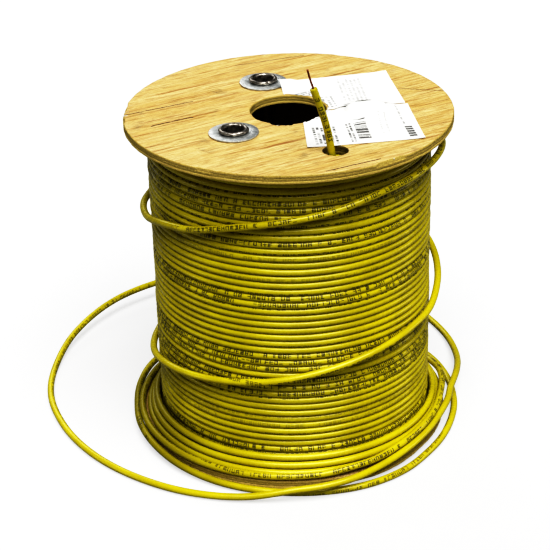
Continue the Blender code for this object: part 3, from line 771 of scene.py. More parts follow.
# painted shade: the start end gets a copy of the jacket 20 % darker, as it stands in shade
JACKET_TAIL_SHADED = jacket_paint("yellow_jacket_start_shaded", 0.80)
FACE_TOP = veneer_paint("pine_face_upper", GRAIN, 1.0, [
    ((-89.4, -3.1), (-52.0, 15.0), 0.42), ((-72.8, -19.1), (-50.9, -7.6), 0.62), ((18.0, -84.0), (46.0, -70.0), 0.40),
    ((-30.0, 70.0), (10.0, 84.0), 0.35), ((48.0, 30.0), (86.0, 22.0), 0.3),
])
FACE_LOW = veneer_paint("pine_face_lower", GRAIN + 1.1, 5.0)
EDGE_TOP = ply_edge_paint("ply_edge_upper", HIGH_LOW, HIGH_TOP - HIGH_LOW, 2.0)
EDGE_LOW = ply_edge_paint("ply_edge_lower", LOW_FOOT, LOW_TOP - LOW_FOOT, 6.0)
ZINC = metal_paint("zinc_washer", (0.74, 0.755, 0.74), (0.48, 0.50, 0.49), 0.38, 0.7, 3.0)
STEEL = metal_paint("rolled_steel", (0.46, 0.43, 0.38), (0.11, 0.10, 0.085), 0.24, 0.6, 8.0)
COPPER = copper_paint()
BOARD = board_paint()
LABEL_UP = label_paint("label_upper_print", False)
LABEL_LOW = label_paint("label_lower_print", True)
TORN = torn_paint()


# ---------------------------------------------------------------- flanges
def bumps(x, y, seed):
    """Soft unevenness of a veneer along its grain, in mm."""
    a = x * math.cos(GRAIN) + y * math.sin(GRAIN)
    b = y * math.cos(GRAIN) - x * math.sin(GRAIN)
    return (
        0.035 * np.sin(b * 0.55 + 0.8 * np.sin(a * 0.05 + seed)) + 0.02 * np.sin(b * 1.9 + a * 0.04 + seed * 2.0)
        + 0.03 * np.sin(a * 0.07 + seed) * np.sin(b * 0.09)
    )


def near_line(x, y, p0, p1):
    """Distance from a segment, and how far along it (0 to 1)."""
    p0, p1 = np.asarray(p0, float), np.asarray(p1, float)
    d = p1 - p0
    t = np.clip(((x - p0[0]) * d[0] + (y - p0[1]) * d[1]) / (d @ d), 0, 1)
    return np.hypot(x - p0[0] - t * d[0], y - p0[1] - t * d[1]), t


CRACKS = [((-72.8, -19.1), (-50.9, -7.6), 0.34, 0.9), ((-88.2, -2.6), (-65.0, 8.7), 0.42, 0.8)]


def crack_lines(p0, p1, half, seed):
    """Both lips and the bottom of a crack that wanders a little and closes at its ends."""
    rng = np.random.default_rng(seed)
    p0, p1 = np.asarray(p0, float), np.asarray(p1, float)
    d = (p1 - p0) / np.linalg.norm(p1 - p0)
    n = np.array([-d[1], d[0]])
    t = np.linspace(0, 1, 24)
    wander = 0.30 * np.sin(t * 9.0 + seed) + 0.15 * np.sin(t * 23.0 + seed)
    open_ = half * np.clip(np.sin(np.pi * np.clip(t, 0.03, 0.97)) ** 0.6 * (0.8 + 0.3 * rng.random(24)), 0.05, None)
    mid = p0 + (p1 - p0) * t[:, None] + n * wander[:, None]
    return [mid + n * open_[:, None], mid, mid - n * open_[:, None]]


crack_sets = [crack_lines(p0, p1, h, k + 3) for k, (p0, p1, h, depth) in enumerate(CRACKS)]


def top_surface(x, y):
    z = HIGH_TOP + bumps(x, y, 1.0)
    for (left, mid, right), (p0, p1, half, depth) in zip(crack_sets, CRACKS):
        near = np.full(np.shape(x), 1e9)
        for s in range(len(mid) - 1):
            d, _ = near_line(x, y, mid[s], mid[s + 1])
            near = np.minimum(near, d)
        z = z - depth * np.clip(1.0 - near / 0.10, 0.0, 1.0)
    return z


def arc_span(deg, low, high, soft=4.0):
    """1 inside an arc of angles, fading to 0 over `soft` degrees outside it."""
    inside = np.minimum(deg - low, high - deg)
    return np.clip(inside / soft + 1.0, 0.0, 1.0)


OUTER_N, ARBOR_N = 480, 200
outer_a = 360.0 * np.arange(OUTER_N) / OUTER_N
outer_deg = (outer_a + 180.0) % 360.0 - 180.0
rim = FLANGE_R - 0.22 + smooth_noise(OUTER_N, 0.10, (2, 5, 9, 17, 31, 53), 4)
outer_loop = np.column_stack([rim * np.cos(np.radians(outer_a)), rim * np.sin(np.radians(outer_a))])
arbor_a = 360.0 * np.arange(ARBOR_N) / ARBOR_N
arbor_deg = (arbor_a + 180.0) % 360.0 - 180.0
arbor_r = ARBOR_R + 0.12 + smooth_noise(ARBOR_N, 0.12, (3, 7, 15, 27, 41), 9)
arbor_loop = np.column_stack([arbor_r * np.cos(np.radians(arbor_a)), arbor_r * np.sin(np.radians(arbor_a))])


def ragged(count, seed, low, high):
    rng = np.random.default_rng(seed)
    raw = rng.uniform(low, high, count)
    return 0.6 * raw + 0.25 * np.roll(raw, 1) + 0.15 * np.roll(raw, 2)


rim_chip = 1.9 * arc_span(outer_deg, -59.0, -50.0, 2.0) * ragged(OUTER_N, 11, 0.45, 1.0)
rim_chip += 1.2 * (arc_span(outer_deg, 172.0, 179.0, 2.0) + arc_span(outer_deg, -179.0, -172.0, 2.0)) * ragged(OUTER_N, 12, 0.2, 1.0)
rim_chip += 0.9 * arc_span(outer_deg, -121.0, -117.0, 1.5) * ragged(OUTER_N, 13, 0.3, 1.0)
rim_chip += 0.8 * arc_span(outer_deg, 62.0, 70.0, 2.0) * ragged(OUTER_N, 14, 0.2, 1.0)
rim_chip += 0.22 * ragged(OUTER_N, 15, 0.0, 1.0)
hole_chip = 3.6 * arc_span(arbor_deg, -112.0, -88.0, 5.0) * ragged(ARBOR_N, 21, 0.35, 1.0)
hole_chip += 1.4 * arc_span(arbor_deg, -150.0, -118.0, 8.0) * ragged(ARBOR_N, 22, 0.0, 0.8)
hole_chip += 0.8 * arc_span(arbor_deg, -84.0, -60.0, 8.0) * ragged(ARBOR_N, 23, 0.0, 0.8)
hole_chip += 0.3 * ragged(ARBOR_N, 24, 0.0, 1.0)

# wall of a plywood sheet: rounded arrises, three plies with the core cut a little deeper
PLY_WALL = [
    (0.42, 0.0, 0.0), (0.16, 0.0, 0.14), (0.02, 0.0, 0.42), (0.0, 0.20, 0.0), (0.05, 0.30, 0.0), (0.13, 0.335, 0.0),
    (0.10, 0.37, 0.0), (0.08, 0.50, 0.0), (0.10, 0.63, 0.0), (0.15, 0.665, 0.0), (0.04, 0.70, 0.0), (0.0, 0.84, 0.0),
    (0.10, 0.965, 0.0), (0.40, 1.0, 0.0),
]
ply_rough = {}


def ply_nudge(kind):
    def nudge(k, s, loop):
        n = len(loop)
        key = (kind, k, s)
        if key not in ply_rough:
            ply_rough[key] = 0.10 * ragged(n, 100 + 17 * k + s + (500 if kind == "low" else 0), -0.6, 1.0)
        extra = ply_rough[key].copy()
        if kind == "high" and s <= 5:
            fade = (1.0, 1.0, 1.0, 0.85, 0.6, 0.35)[s]
            if k == 0:
                extra = extra + rim_chip * fade
            elif k == 1:
                extra = extra + hole_chip * fade
        if k > 1:
            extra = extra * 0.5
        return extra

    return nudge


tie_holes = [circle(6.7, 48, t) for t in TIES]
start_loop = circle(START_HOLE[2], 72, START_HOLE[:2])
start_loop += 0.08 * np.random.default_rng(6).normal(size=start_loop.shape)
upper = plate(
    "flange_upper", [outer_loop, arbor_loop, start_loop] + tie_holes, top_surface,
    lambda x, y: np.full(np.shape(x), HIGH_LOW), PLY_WALL, [FACE_TOP, EDGE_TOP, FACE_LOW], 2.4,
    ply_nudge("high"), [line for group in crack_sets for line in group],
)
settle(upper, "reel", "plywood", "top_flange")

low_rim = FLANGE_R - 0.22 + smooth_noise(OUTER_N, 0.10, (2, 5, 9, 17, 31, 53), 44)
low_rim -= 2.9 * arc_span(outer_deg, -36.0, 14.0, 24.0) ** 1.2 * (0.9 + 0.1 * ragged(OUTER_N, 16, 0.0, 1.0))
low_outer = np.column_stack([low_rim * np.cos(np.radians(outer_a)), low_rim * np.sin(np.radians(outer_a))])
low_arbor = circle(ARBOR_R + 0.1, ARBOR_N) * (1.0 + 0.004 * np.random.default_rng(5).normal(size=(ARBOR_N, 1)))
lower = plate(
    "flange_lower", [low_outer, low_arbor] + tie_holes, lambda x, y: LOW_TOP + bumps(x, y, 4.0) * 0.6,
    lambda x, y: np.full(np.shape(x), LOW_FOOT), PLY_WALL, [FACE_LOW, EDGE_LOW, FACE_TOP], 4.0, ply_nudge("low"),
)
settle(lower, "reel", "plywood", "bottom_flange")

# slivers of veneer that stand off the rim and off the arbor hole
def sliver(name, points, width, thick, mat):
    P = np.asarray(points, float)
    n = len(P)
    tan = np.gradient(P, axis=0)
    tan /= np.linalg.norm(tan, axis=1)[:, None]
    side = np.cross(tan, (0, 0, 1.0))
    side /= np.linalg.norm(side, axis=1)[:, None]
    up = np.cross(side, tan)
    share = np.linspace(0, 1, n)
    w = width * np.clip(1.0 - share**2, 0.06, 1.0)
    h = thick * np.clip(1.0 - share, 0.12, 1.0)
    ring = []
    for c, d in ((-0.5, -0.4), (0.5, -0.5), (0.45, 0.4), (-0.1, 0.6), (-0.5, 0.3)):
        ring.append(P + side * (w * c)[:, None] + up * (h * d)[:, None])
    verts = np.stack(ring, 1).reshape(-1, 3)
    m = 5
    i, j = np.meshgrid(np.arange(n - 1), np.arange(m), indexing="ij")
    quads = np.stack([i * m + j, (i + 1) * m + j, (i + 1) * m + (j + 1) % m, i * m + (j + 1) % m], -1).reshape(-1, 4)
    return verts, quads, n * m, m


slivers_v, slivers_f, slivers_cap, at = [], [], [], 0
for k, (start, heading, length, bend, width, z0) in enumerate([
    ((-86.6, -3.0), 205.0, 2.9, 0.25, 0.9, HIGH_TOP - 0.15), ((-86.4, 2.0), 200.0, 3.1, 0.1, 0.6, HIGH_TOP - 0.2),
    ((-6.8, -23.2), 62.0, 3.8, -0.6, 0.8, HIGH_TOP - 0.25), ((-3.2, -23.9), 70.0, 4.2, -0.9, 0.6, HIGH_TOP - 0.25),
    ((-0.6, -23.6), 84.0, 3.4, -0.7, 0.5, HIGH_TOP - 0.2), ((-10.0, -21.9), 52.0, 3.2, -0.5, 0.6, HIGH_TOP - 0.25),
    ((52.2, -69.6), 300.0, 1.6, 0.1, 0.6, HIGH_TOP - 0.25),
]):
    t = np.linspace(0, 1, 9)
    a = math.radians(heading)
    curve = np.column_stack([
        start[0] + length * t * math.cos(a) + 0.2 * np.sin(t * 7 + k), start[1] + length * t * math.sin(a) + 0.1 * np.sin(t * 5 + k),
        z0 + bend * t**2,
    ])
    v, q, n, m = sliver("sliver", curve, width, 0.42, FACE_TOP)
    slivers_v.append(v)
    slivers_f.append(q + at)
    slivers_cap += [np.arange(m)[::-1] + at, np.arange(m) + at + n - m]
    at += n
slivers = build("veneer_slivers", np.concatenate(slivers_v), [np.concatenate(slivers_f), np.array(slivers_cap)], TORN)
settle(slivers, "reel", "plywood")

# ---------------------------------------------------------------- barrel, tie tubes, washers
barrel_in, barrel_z0, barrel_z1 = BARREL_R - 4.6, LOW_TOP - 0.85, HIGH_LOW + 0.85
lathe_profile = [(barrel_in, barrel_z0), (BARREL_R, barrel_z0), (BARREL_R, barrel_z1), (barrel_in, barrel_z1)]
settle(lathe("barrel_board", lathe_profile, 144, BOARD), "reel", "paperboard", "barrel")

seat, foot = HIGH_TOP + 0.3 + 0.8 + 0.3, LOW_FOOT - 0.3 - 0.8 - 0.3
for k, centre in enumerate(TIES):
    r0, r1, lip = 6.35 - 0.85, 6.35, 8.0
    crown = seat + 1.8
    profile = [
        (r0, foot + 1.4), (r0, crown - 1.5), (r0 + 0.10, crown - 0.85), (r0 + 0.38, crown - 0.35), (r0 + 0.85, crown - 0.06),
        (r1 + 0.75, crown + 0.02), (lip - 0.45, crown - 0.18), (lip - 0.12, crown - 0.55), (lip, crown - 1.05),
        (lip - 0.12, crown - 1.45), (lip - 0.42, crown - 1.72), (r1 + 0.45, seat - 0.08), (r1, seat - 0.25),
        (r1, foot + 0.4), (r1 + 0.7, foot + 0.02), (lip - 0.35, foot - 0.02), (lip - 0.05, foot - 0.42), (lip - 0.4, 0.12),
        (r1 + 0.6, 0.02), (r0 + 0.7, 0.10), (r0 + 0.15, 0.6),
    ]

    def crimp(ang, r, z, k=k, crown=crown):
        high = np.clip((z - (crown - 2.0)) / 1.4, 0.0, 1.0)
        out = np.clip((r - 5.6) / 2.0, 0.0, 1.0)
        flat = 0.16 * np.cos(8 * ang + k * 1.3) * high * out + 0.10 * np.cos(3 * ang + 1 + k) * high * out
        split = np.exp(-(((ang - 0.9 - 2.1 * k + np.pi) % (2 * np.pi) - np.pi) / 0.055) ** 2)
        split += np.exp(-(((ang - 3.6 - 1.4 * k + np.pi) % (2 * np.pi) - np.pi) / 0.05) ** 2)
        return flat - 0.55 * split * high * out, -0.45 * split * high + 0.10 * np.sin(5 * ang + k) * high

    settle(lathe("tie_tube_flared_%d" % (k + 1), profile, 160, STEEL, centre, crimp, 55.0), "reel", "tube_steel", "tie_tube_%d" % (k + 1))
    for place, low in (("top", HIGH_TOP + 0.3), ("bottom", LOW_FOOT - 0.3 - 0.8)):
        high = low + 0.8
        washer = [
            (7.0, low + 0.12), (7.12, low), (13.0, low), (13.24, low + 0.14), (13.3, low + 0.36), (13.22, high - 0.16),
            (12.95, high), (7.3, high), (7.06, high - 0.12),
        ]

        def dish(ang, r, z, k=k):
            return 0.03 * np.sin(3 * ang + k), 0.05 * np.sin(2 * ang + 2 * k) * (r - 7.0) / 6.3

        settle(
            lathe("%s_washer_plate_%d" % (place, k + 1), washer, 120, ZINC, centre, dish if place == "top" else None),
            "reel", "zinc_plate", "%s_washer_%d" % (place, k + 1),
        )

# ---------------------------------------------------------------- the tight winding
# Rows count down from the row at the upper slack turn. Each row's print line sits at its own angle, and some
# rows' print has worn to a trace. (row: degrees up from outwards, how much ink)
PRINT = {
    -8: (160, 0.8), -7: (150, 0.8), -6: (120, 0.8), -5: (74, 0.9), -4: (30, 1.0), -3: (26, 1.0), -2: (18, 1.0),
    -1: (-40, 1.0), 0: (-120, 0.8), 1: (84, 0.9), 2: (27, 1.0), 3: (-46, 0.9), 4: (-4, 0.42), 5: (-140, 0.3),
    6: (-100, 0.3), 7: (-14, 0.36), 8: (-110, 0.5), 9: (-44, 0.8), 10: (28, 1.0), 11: (26, 1.0), 12: (80, 0.9),
    13: (170, 0.8), 14: (190, 0.8), 15: (200, 0.8), 16: (160, 0.8), 17: (-48, 0.7), 18: (-100, 0.8), 19: (32, 1.0),
    20: (27, 1.0), 21: (22, 1.0), 22: (-70, 0.9), 23: (36, 1.0), 24: (34, 1.0), 25: (28, 1.0), 26: (80, 0.9),
    27: (170, 0.8), 28: (150, 0.7), 29: (52, 0.36), 30: (4, 0.42), 31: (-50, 0.7), 32: (-150, 0.8), 33: (-90, 0.8),
    34: (27, 1.0), 35: (20, 0.9), 36: (-60, 0.8), 37: (-90, 0.8),
}
FIRST_ROW, LAST_ROW, PER_TURN = -8, 36, 120


def row_height(s):
    return np.where(s < -4.0, 165.475 - (s + 4.0) * 3.75, 150.075 - 3.85 * s)


def row_value(s, column):
    """A row's value through its visible half, turning to the next row's round the back."""
    low = np.floor(s + 0.5)
    f = s + 0.5 - low
    t = np.clip((np.abs(f - 0.5) - 0.27) / 0.23, 0.0, 1.0)
    t = 0.5 * t * t * (3 - 2 * t)
    mine = np.array([PRINT[int(min(37, max(-8, k)))][column] for k in low], float)
    other = np.array([PRINT[int(min(37, max(-8, k + (1 if g > 0.5 else -1))))][column] for k, g in zip(low, f)], float)
    return mine * (1 - t) + other * t


s = np.arange(FIRST_ROW - 0.42, LAST_ROW + 0.5, 1.0 / PER_TURN)
angle = np.radians(-90.0 + 360.0 * s)
row_rng = np.random.default_rng(31)
proud = row_rng.normal(0.0, 0.16, 60)
wave = sum(
    row_rng.uniform(0.3, 1.0) * np.sin(w * s + row_rng.uniform(0, 6.28)) for w in (1.31, 2.73, 4.19, 5.77, 7.93, 11.3)
)
bulk = 0.16 * np.sin(angle * 2 + 0.4 * s) + 0.10 * np.sin(angle * 5 + 0.22 * s) + 0.12 * np.sin(0.5 * s + angle)
radius = PACK_R - 2.12 + np.interp(s, np.arange(-10, 50), proud) + 0.06 * wave + bulk * 0.6
height = row_height(s) + 0.10 * np.sin(angle * 3 + 0.35 * s) + 0.05 * np.sin(angle * 7 + 0.5 * s)
height = np.clip(height, LOW_TOP + 0.2 + WIRE_R, HIGH_LOW - 0.15 - WIRE_R)
dive = np.clip((FIRST_ROW - 0.08 - s) / 0.3, 0.0, 1.0)
radius -= 3.2 * dive * dive * (3 - 2 * dive)
wound = np.column_stack([radius * np.cos(angle), radius * np.sin(angle), height])
pack = sweep("wound_wire", wound, WIRE_R, 14, False, JACKET, row_value(s, 0), row_value(s, 1))
settle(pack, "reel", "yellow_jacket", "wire_pack")

# the layers beneath, as one ribbed body that shows only through gaps
profile = []
low_z, high_z = LOW_TOP + 0.35, HIGH_LOW - 0.35
ribs = 44
pitch = (high_z - low_z) / ribs
profile.append((BARREL_R + 0.3, low_z + 1.0))
for k in range(5):
    c = BARREL_R + 2.2 + 3.65 * k
    for a in np.linspace(0.0, np.pi, 5)[:-1]:
        profile.append((c - 1.85 * math.cos(a), low_z + 1.0 - 0.95 * math.sin(a)))
for k in range(ribs):
    c = low_z + pitch * (k + 0.5)
    for a in np.linspace(-np.pi / 2, np.pi / 2, 7)[:-1]:
        profile.append((72.3 + 1.7 * math.cos(a), c + pitch / 2 * math.sin(a)))
for k in range(5):
    c = BARREL_R + 2.2 + 3.65 * (4 - k)
    for a in np.linspace(0.0, np.pi, 5)[:-1]:
        profile.append((c + 1.85 * math.cos(a), high_z - 1.0 + 0.95 * math.sin(a)))
profile.append((BARREL_R + 0.3, high_z - 1.0))


def layer_uv(obj):
    """A wire map for a turned body: length round the axis, and no print."""
    mesh = obj.data
    layer = mesh.uv_layers.new(name="wire")
    idx = np.zeros(len(mesh.loops), np.int32)
    mesh.loops.foreach_get("vertex_index", idx)
    co = np.zeros(len(mesh.vertices) * 3, np.float32)
    mesh.vertices.foreach_get("co", co)
    co = co.reshape(-1, 3)[idx] * 1000.0
    uv = np.column_stack([np.arctan2(co[:, 1], co[:, 0]) * 72.0, 0.25 + 0.0 * co[:, 2]])
    layer.data.foreach_set("uv", uv.astype(np.float32).ravel())
    mesh.attributes.new("ink", "FLOAT", "POINT").data.foreach_set("value", np.zeros(len(mesh.vertices), np.float32))


inner = lathe("inner_layers", profile, 96, JACKET, crease=80.0)
layer_uv(inner)
settle(inner, "reel", "yellow_jacket")


# ---------------------------------------------------------------- turns in the heap and on the floor
def turn(name, radius, height, seed, angle0, ink, count=260, sway=0.35, lift=0.25):
    a = 2 * np.pi * np.arange(count) / count
    r = radius + smooth_noise(count, sway * 0.5, (1, 2, 3, 5), seed)
    z = height + np.abs(smooth_noise(count, lift * 0.6, (1, 2, 4), seed + 50))
    path = np.column_stack([r * np.cos(a), r * np.sin(a), z])
    tw = angle0 + smooth_noise(count, 9.0, (1, 2), seed + 90)
    return sweep(name, path, WIRE_R, 18, True, JACKET_SLACK_LIT, tw, ink, start_mm=37.0 * seed)


step_, bed = 4.13, LOW_TOP + 0.3 + WIRE_R
first = PACK_R + 0.3 + WIRE_R + 0.2
rise = math.sqrt(step_**2 - (step_ / 2) ** 2)
for number, spec in enumerate(
    [(0.0, 0, 200.0, 0.8), (1.0, 0, 160.0, 0.8), None, (0.5, 1, 170.0, 0.6), (0.0, 2, 150.0, 0.8)], 1
):
    if spec is None:
        continue
    column, layer, tw, ink = spec
    settle(
        turn("heap_turn_%d" % number, first + column * step_, bed + layer * rise, number, tw, ink),
        "reel", "yellow_jacket", "base_turn_%d" % number,
    )

BASE_TURN_3 = [
    (-180, 88.9, 9.27), (-140, 88.6, 9.27), (-115, 88.3, 9.3), (-100, 88.2, 9.5), (-90, 88.2, 9.9),
    (-80, 88.2, 10.3), (-70, 87.8, 11.4), (-60, 87.6, 12.3), (-50, 87.0, 14.1), (-40, 86.0, 15.0),
    (-30, 85.5, 15.7), (-20, 85.1, 15.9), (-8, 84.9, 15.9), (4, 86.6, 14.4), (14, 88.3, 12.0), (24, 88.8, 9.9),
    (36, 88.4, 9.3), (80, 88.3, 9.3), (130, 88.4, 9.3), (160, 88.8, 9.3),
]
fl = WIRE_R + 0.3
FLOOR_TURN = [
    (-180, 92.3, 5.2), (-165, 92.0, 6.0), (-150, 91.98, 5.6), (-135, 91.98, 4.2), (-118, 91.98, 3.0),
    (-98, 91.98, 2.3), (-82, 93.0, fl), (-66, 94.2, fl), (-50, 93.6, fl), (-38, 92.0, fl), (-26, 91.7, fl),
    (-14, 91.9, fl), (-2, 93.0, fl), (8, 94.0, fl), (35, 98.5, fl), (75, 102.0, fl), (115, 103.5, fl),
    (145, 101.5, 2.8), (163, 96.0, 4.4),
]
UPPER_SLACK = [
    (-180, 81.0, 134.4), (-164, 80.8, 136.3), (-147, 80.4, 141.8), (-130, 80.4, 146.2), (-113, 80.4, 152.5),
    (-95, 80.4, 157.4), (-75, 80.6, 161.8), (-55, 81.1, 167.0), (-38, 82.0, 168.8), (-18, 83.0, 170.0),
    (0, 83.0, 168.0), (30, 82.0, 162.0), (60, 81.0, 155.0), (95, 80.6, 147.5), (130, 80.1, 138.0), (152, 79.95, 134.6), (167, 80.0, 133.6),
]
MIDDLE_SLACK = [
    (-180, 80.3, 46.6), (-166, 80.4, 49.6), (-150, 80.4, 54.0), (-125, 80.4, 59.2), (-98, 80.4, 64.4),
    (-75, 80.4, 70.4), (-53, 80.4, 75.5), (-36, 80.5, 78.6), (-22, 80.8, 79.6), (-13, 81.2, 82.0),
    (-4, 82.0, 87.6), (5, 81.8, 93.4), (18, 81.0, 98.4), (38, 80.6, 99.0), (68, 80.5, 91.5), (105, 80.5, 76.0),
    (145, 79.95, 51.0), (163, 79.95, 46.6),
]
FLOOR_LOOP = [
    (-174, 136.5, 2.3), (-158, 125.5, 2.3), (-140, 115.0, 2.3), (-122, 107.0, 2.5), (-106, 101.2, 3.6),
    (-92, 98.0, 7.2), (-82, 97.2, 8.4), (-72, 95.4, 9.2), (-62, 92.2, 9.7), (-51, 90.2, 11.1),
    (-40, 88.2, 11.4), (-30, 87.6, 11.9), (-20, 87.8, 12.6), (-10, 89.3, 12.7), (0, 91.4, 12.7),
    (13, 99.4, 10.4), (28, 112.0, 5.2), (42, 126.0, 2.4), (60, 143.0, 2.6), (84, 160.0, 5.6),
    (108, 168.0, 9.6), (130, 168.2, 10.2), (148, 161.5, 6.8), (161, 154.5, 2.6), (173, 146.6, 2.3),
]


def loose(name, stations, count, body, node, tw, ink, start):
    """tw and ink are read at (degrees, value) points."""
    path = ring_through(stations, count)
    deg = stations[0][0] + 360.0 * np.arange(count) / count

    def read(table):
        d = np.array([q[0] for q in table], float)
        v = np.array([q[1] for q in table], float)
        return np.interp(deg, np.append(d, d[0] + 360.0), np.append(v, v[0]), period=None)

    obj = sweep(name, path, WIRE_R, 20, True, JACKET_SLACK_LIT, read(tw), read(ink), start_mm=start)
    return settle(obj, body, "yellow_jacket", node)


loose("heap_turn_3", BASE_TURN_3, 300, "reel", "base_turn_3", [(-180, 150), (-128, 130), (-112, 40), (-60, 34),
      (-40, 20), (0, 60), (90, 140)], [(-180, 0.8), (-118, 0.9), (-70, 1.0), (-40, 1.0)], 111.0)
loose("floor_turn_wire", FLOOR_TURN, 320, "reel", "floor_turn", [(-180, 150), (-140, -60), (-90, -50), (0, 190)],
      [(-180, 0.8)], 11.0)
loose("slack_turn_upper_wire", UPPER_SLACK, 320, "upper_slack", "slack_turn_upper",
      [(-180, 0), (-140, 20), (-40, 40), (10, 120), (120, 60)], [(-180, 0.4), (-141, 0.2), (-132, 1.0), (100, 0.9)], 200.0)
loose("slack_turn_middle_wire", MIDDLE_SLACK, 340, "middle_slack", "slack_turn_middle",
      [(-180, 170), (-120, 140), (-100, -40), (-40, -34), (20, -60), (100, 120)], [(-180, 0.8)], 400.0)
loose("floor_loop_wire", FLOOR_LOOP, 420, "floor_loop", "floor_loop",
      [(-180, 150), (-90, 170), (0, 200), (90, 170)], [(-180, 0.7)], 600.0)

# ---------------------------------------------------------------- start end
TAIL_PIVOT = np.array([21.9, -61.3, HIGH_LOW + 1.6])
TAIL, BARE = 39.1, 10.6


def tail_point(q):
    t = min(max(q / 46.0, 0.0), 1.0)
    mean = math.radians(7.0) + math.radians(7.0) * t * t * (3 - 2 * t)
    return TAIL_PIVOT + np.array([-q * math.sin(mean), 0.0, q * math.cos(mean)])


tail = [tail_point(q) for q in np.linspace(-1.2, TAIL - 0.2, 48)]
tail_obj = sweep("start_end_jacket_wire", tail, WIRE_R, 24, False, JACKET_TAIL_SHADED, np.linspace(60, 96, 48) - 90.0, 1.0,
                 side_hint=(0.0, -1.0, 0.0), start_mm=52.0)
settle(tail_obj, "start_end", "yellow_jacket", "start_end_jacket")
core = [tail_point(q) for q in np.linspace(TAIL - 1.5, TAIL + BARE - 0.15, 30)]
core_r = 0.51 + 0.012 * np.sin(np.arange(30) * 1.7)
core_obj = sweep("start_end_conductor_wire", core, core_r, 18, False, COPPER, side_hint=(0.0, -1.0, 0.0))
settle(core_obj, "start_end", "copper", "start_end_conductor")


# ---------------------------------------------------------------- labels
def rise_over_ties(x, y):
    height = np.full(np.shape(x), 0.22)
    for k_, (px, py) in enumerate(TIES):
        d = np.hypot(x - px, y - py)
        # one tie's flared end stands clear of the paper, which only laps its washer
        for radius, top in ((14.5, 1.4), (9.6, 3.9))[: 1 if k_ == 1 else 2]:
            t = np.clip((d - radius) / 5.0, 0.0, 1.0)
            height = np.maximum(height, 0.22 + (top - 0.22) * (1.0 - t * t * (3 - 2 * t)))
    return height


def outline(corners, cut_radius, seed, step=1.3):
    """Corner to corner, then torn back to the arbor hole's edge wherever it would overhang it."""
    rng = np.random.default_rng(seed)
    pts = []
    for a, b in zip(corners, corners[1:] + corners[:1]):
        a, b = np.asarray(a, float), np.asarray(b, float)
        n = max(2, int(np.linalg.norm(b - a) / step))
        for t in np.arange(n) / n:
            pts.append(a + (b - a) * t)
    pts = np.array(pts)
    rad = np.hypot(pts[:, 0], pts[:, 1])
    inside = rad < cut_radius
    if inside.any():
        # walk round the hole between the points where the outline enters and leaves it
        n = len(pts)
        start = next(i for i in range(n) if inside[i] and not inside[i - 1])
        pts, inside = np.roll(pts, -start, 0), np.roll(inside, -start)
        runs = int(np.argmin(inside)) if not inside.all() else n
        kept = pts[runs:]
        a0 = math.atan2(kept[-1][1], kept[-1][0])
        a1 = math.atan2(kept[0][1], kept[0][0])
        lo, hi = a0, a1
        span = (hi - lo + math.pi) % (2 * math.pi) - math.pi
        m = max(6, int(abs(span) * cut_radius / 0.9))
        arc = []
        for t in np.arange(1, m) / m:
            a = lo + span * t
            r = cut_radius + rng.uniform(-0.1, 0.75) + 0.5 * math.sin(a * 9.0)
            arc.append((r * math.cos(a), r * math.sin(a)))
        pts = np.concatenate([kept, arc])
    return pts


PAPER_WALL = [(0.0, 0.0, 0.0), (0.0, 1.0, 0.0)]


def curl(x, y, corner, reach, lift):
    d = np.hypot(x - corner[0], y - corner[1])
    t = np.clip(1.0 - d / reach, 0.0, 1.0)
    return lift * t * t


def upper_label_z(x, y):
    return HIGH_TOP + rise_over_ties(x, y) + curl(x, y, (-4.8, 40.8), 12.0, 0.3) + curl(x, y, (55.8, 53.9), 12.0, 0.5)


def lower_label_z(x, y):
    over, _ = near_line(x, y, (7.3, -7.6), (64.5, 3.0))
    lap = 0.26 * np.clip(1.0 - over / 9.0, 0.0, 1.0) ** 0.5
    near_hole = np.clip(1.0 - (np.hypot(x, y) - 21.0) / 3.4, 0.0, 1.0)
    return (
        HIGH_TOP + rise_over_ties(x, y) + lap + curl(x, y, (9.3, -54.6), 12.0, 0.5) + curl(x, y, (70.4, -45.4), 10.0, 0.45)
        + 0.5 * near_hole**2 * (0.6 + 0.4 * np.sin(np.arctan2(y, x) * 14.0))
    )


for name, corners, z_of, mat, seed, node in (
    ("label_sheet_upper", [(1.4, -6.0), (63.4, 4.8), (55.8, 53.9), (-4.8, 40.8)], upper_label_z, LABEL_UP, 5, "label_upper"),
    ("label_sheet_lower", [(9.3, -54.6), (70.4, -45.4), (64.5, 3.0), (7.3, -7.6)], lower_label_z, LABEL_LOW, 8, "label_lower"),
):
    shape = outline(corners, ARBOR_R + 0.9, seed)
    obj = plate(
        name, [shape], (lambda x, y, f=z_of: f(x, y) + 0.2), (lambda x, y, f=z_of: f(x, y)), PAPER_WALL, [mat], 1.6,
        low_free=True, crease=60.0,
    )
    settle(obj, "reel", "label_paper", node)

# a torn strip of label that curls down into the arbor hole
strip_n, strip_m = 22, 9
verts = []
for side_ in (0.0, 0.16):
    for i in range(strip_n):
        t = i / (strip_n - 1)
        a = math.radians(-8.0 - 40.0 * t)
        for j in range(strip_m):
            w = j / (strip_m - 1)
            reach = (4.6 + 1.2 * math.sin(t * 5.0)) * w * (0.25 + 0.75 * math.sin(math.pi * min(1.0, 0.12 + t)) ** 0.6)
            bend = 1.35 * w
            r = 22.3 - (reach / 1.35) * math.sin(bend) - side_ * math.sin(bend)
            z = HIGH_TOP + 0.95 - (reach / 1.35) * (1 - math.cos(bend)) * 1.1 + side_ * math.cos(bend)
            verts.append((r * math.cos(a), r * math.sin(a), z + 0.25 * math.sin(t * 9.0) * w))
verts = np.array(verts)
k = strip_n * strip_m
quads = []
for i in range(strip_n - 1):
    for j in range(strip_m - 1):
        a = i * strip_m + j
        quads.append((a, a + 1, a + strip_m + 1, a + strip_m))
        quads.append((k + a, k + a + strip_m, k + a + strip_m + 1, k + a + 1))
edge = [i * strip_m for i in range(strip_n)] + [(strip_n - 1) * strip_m + j for j in range(1, strip_m)]
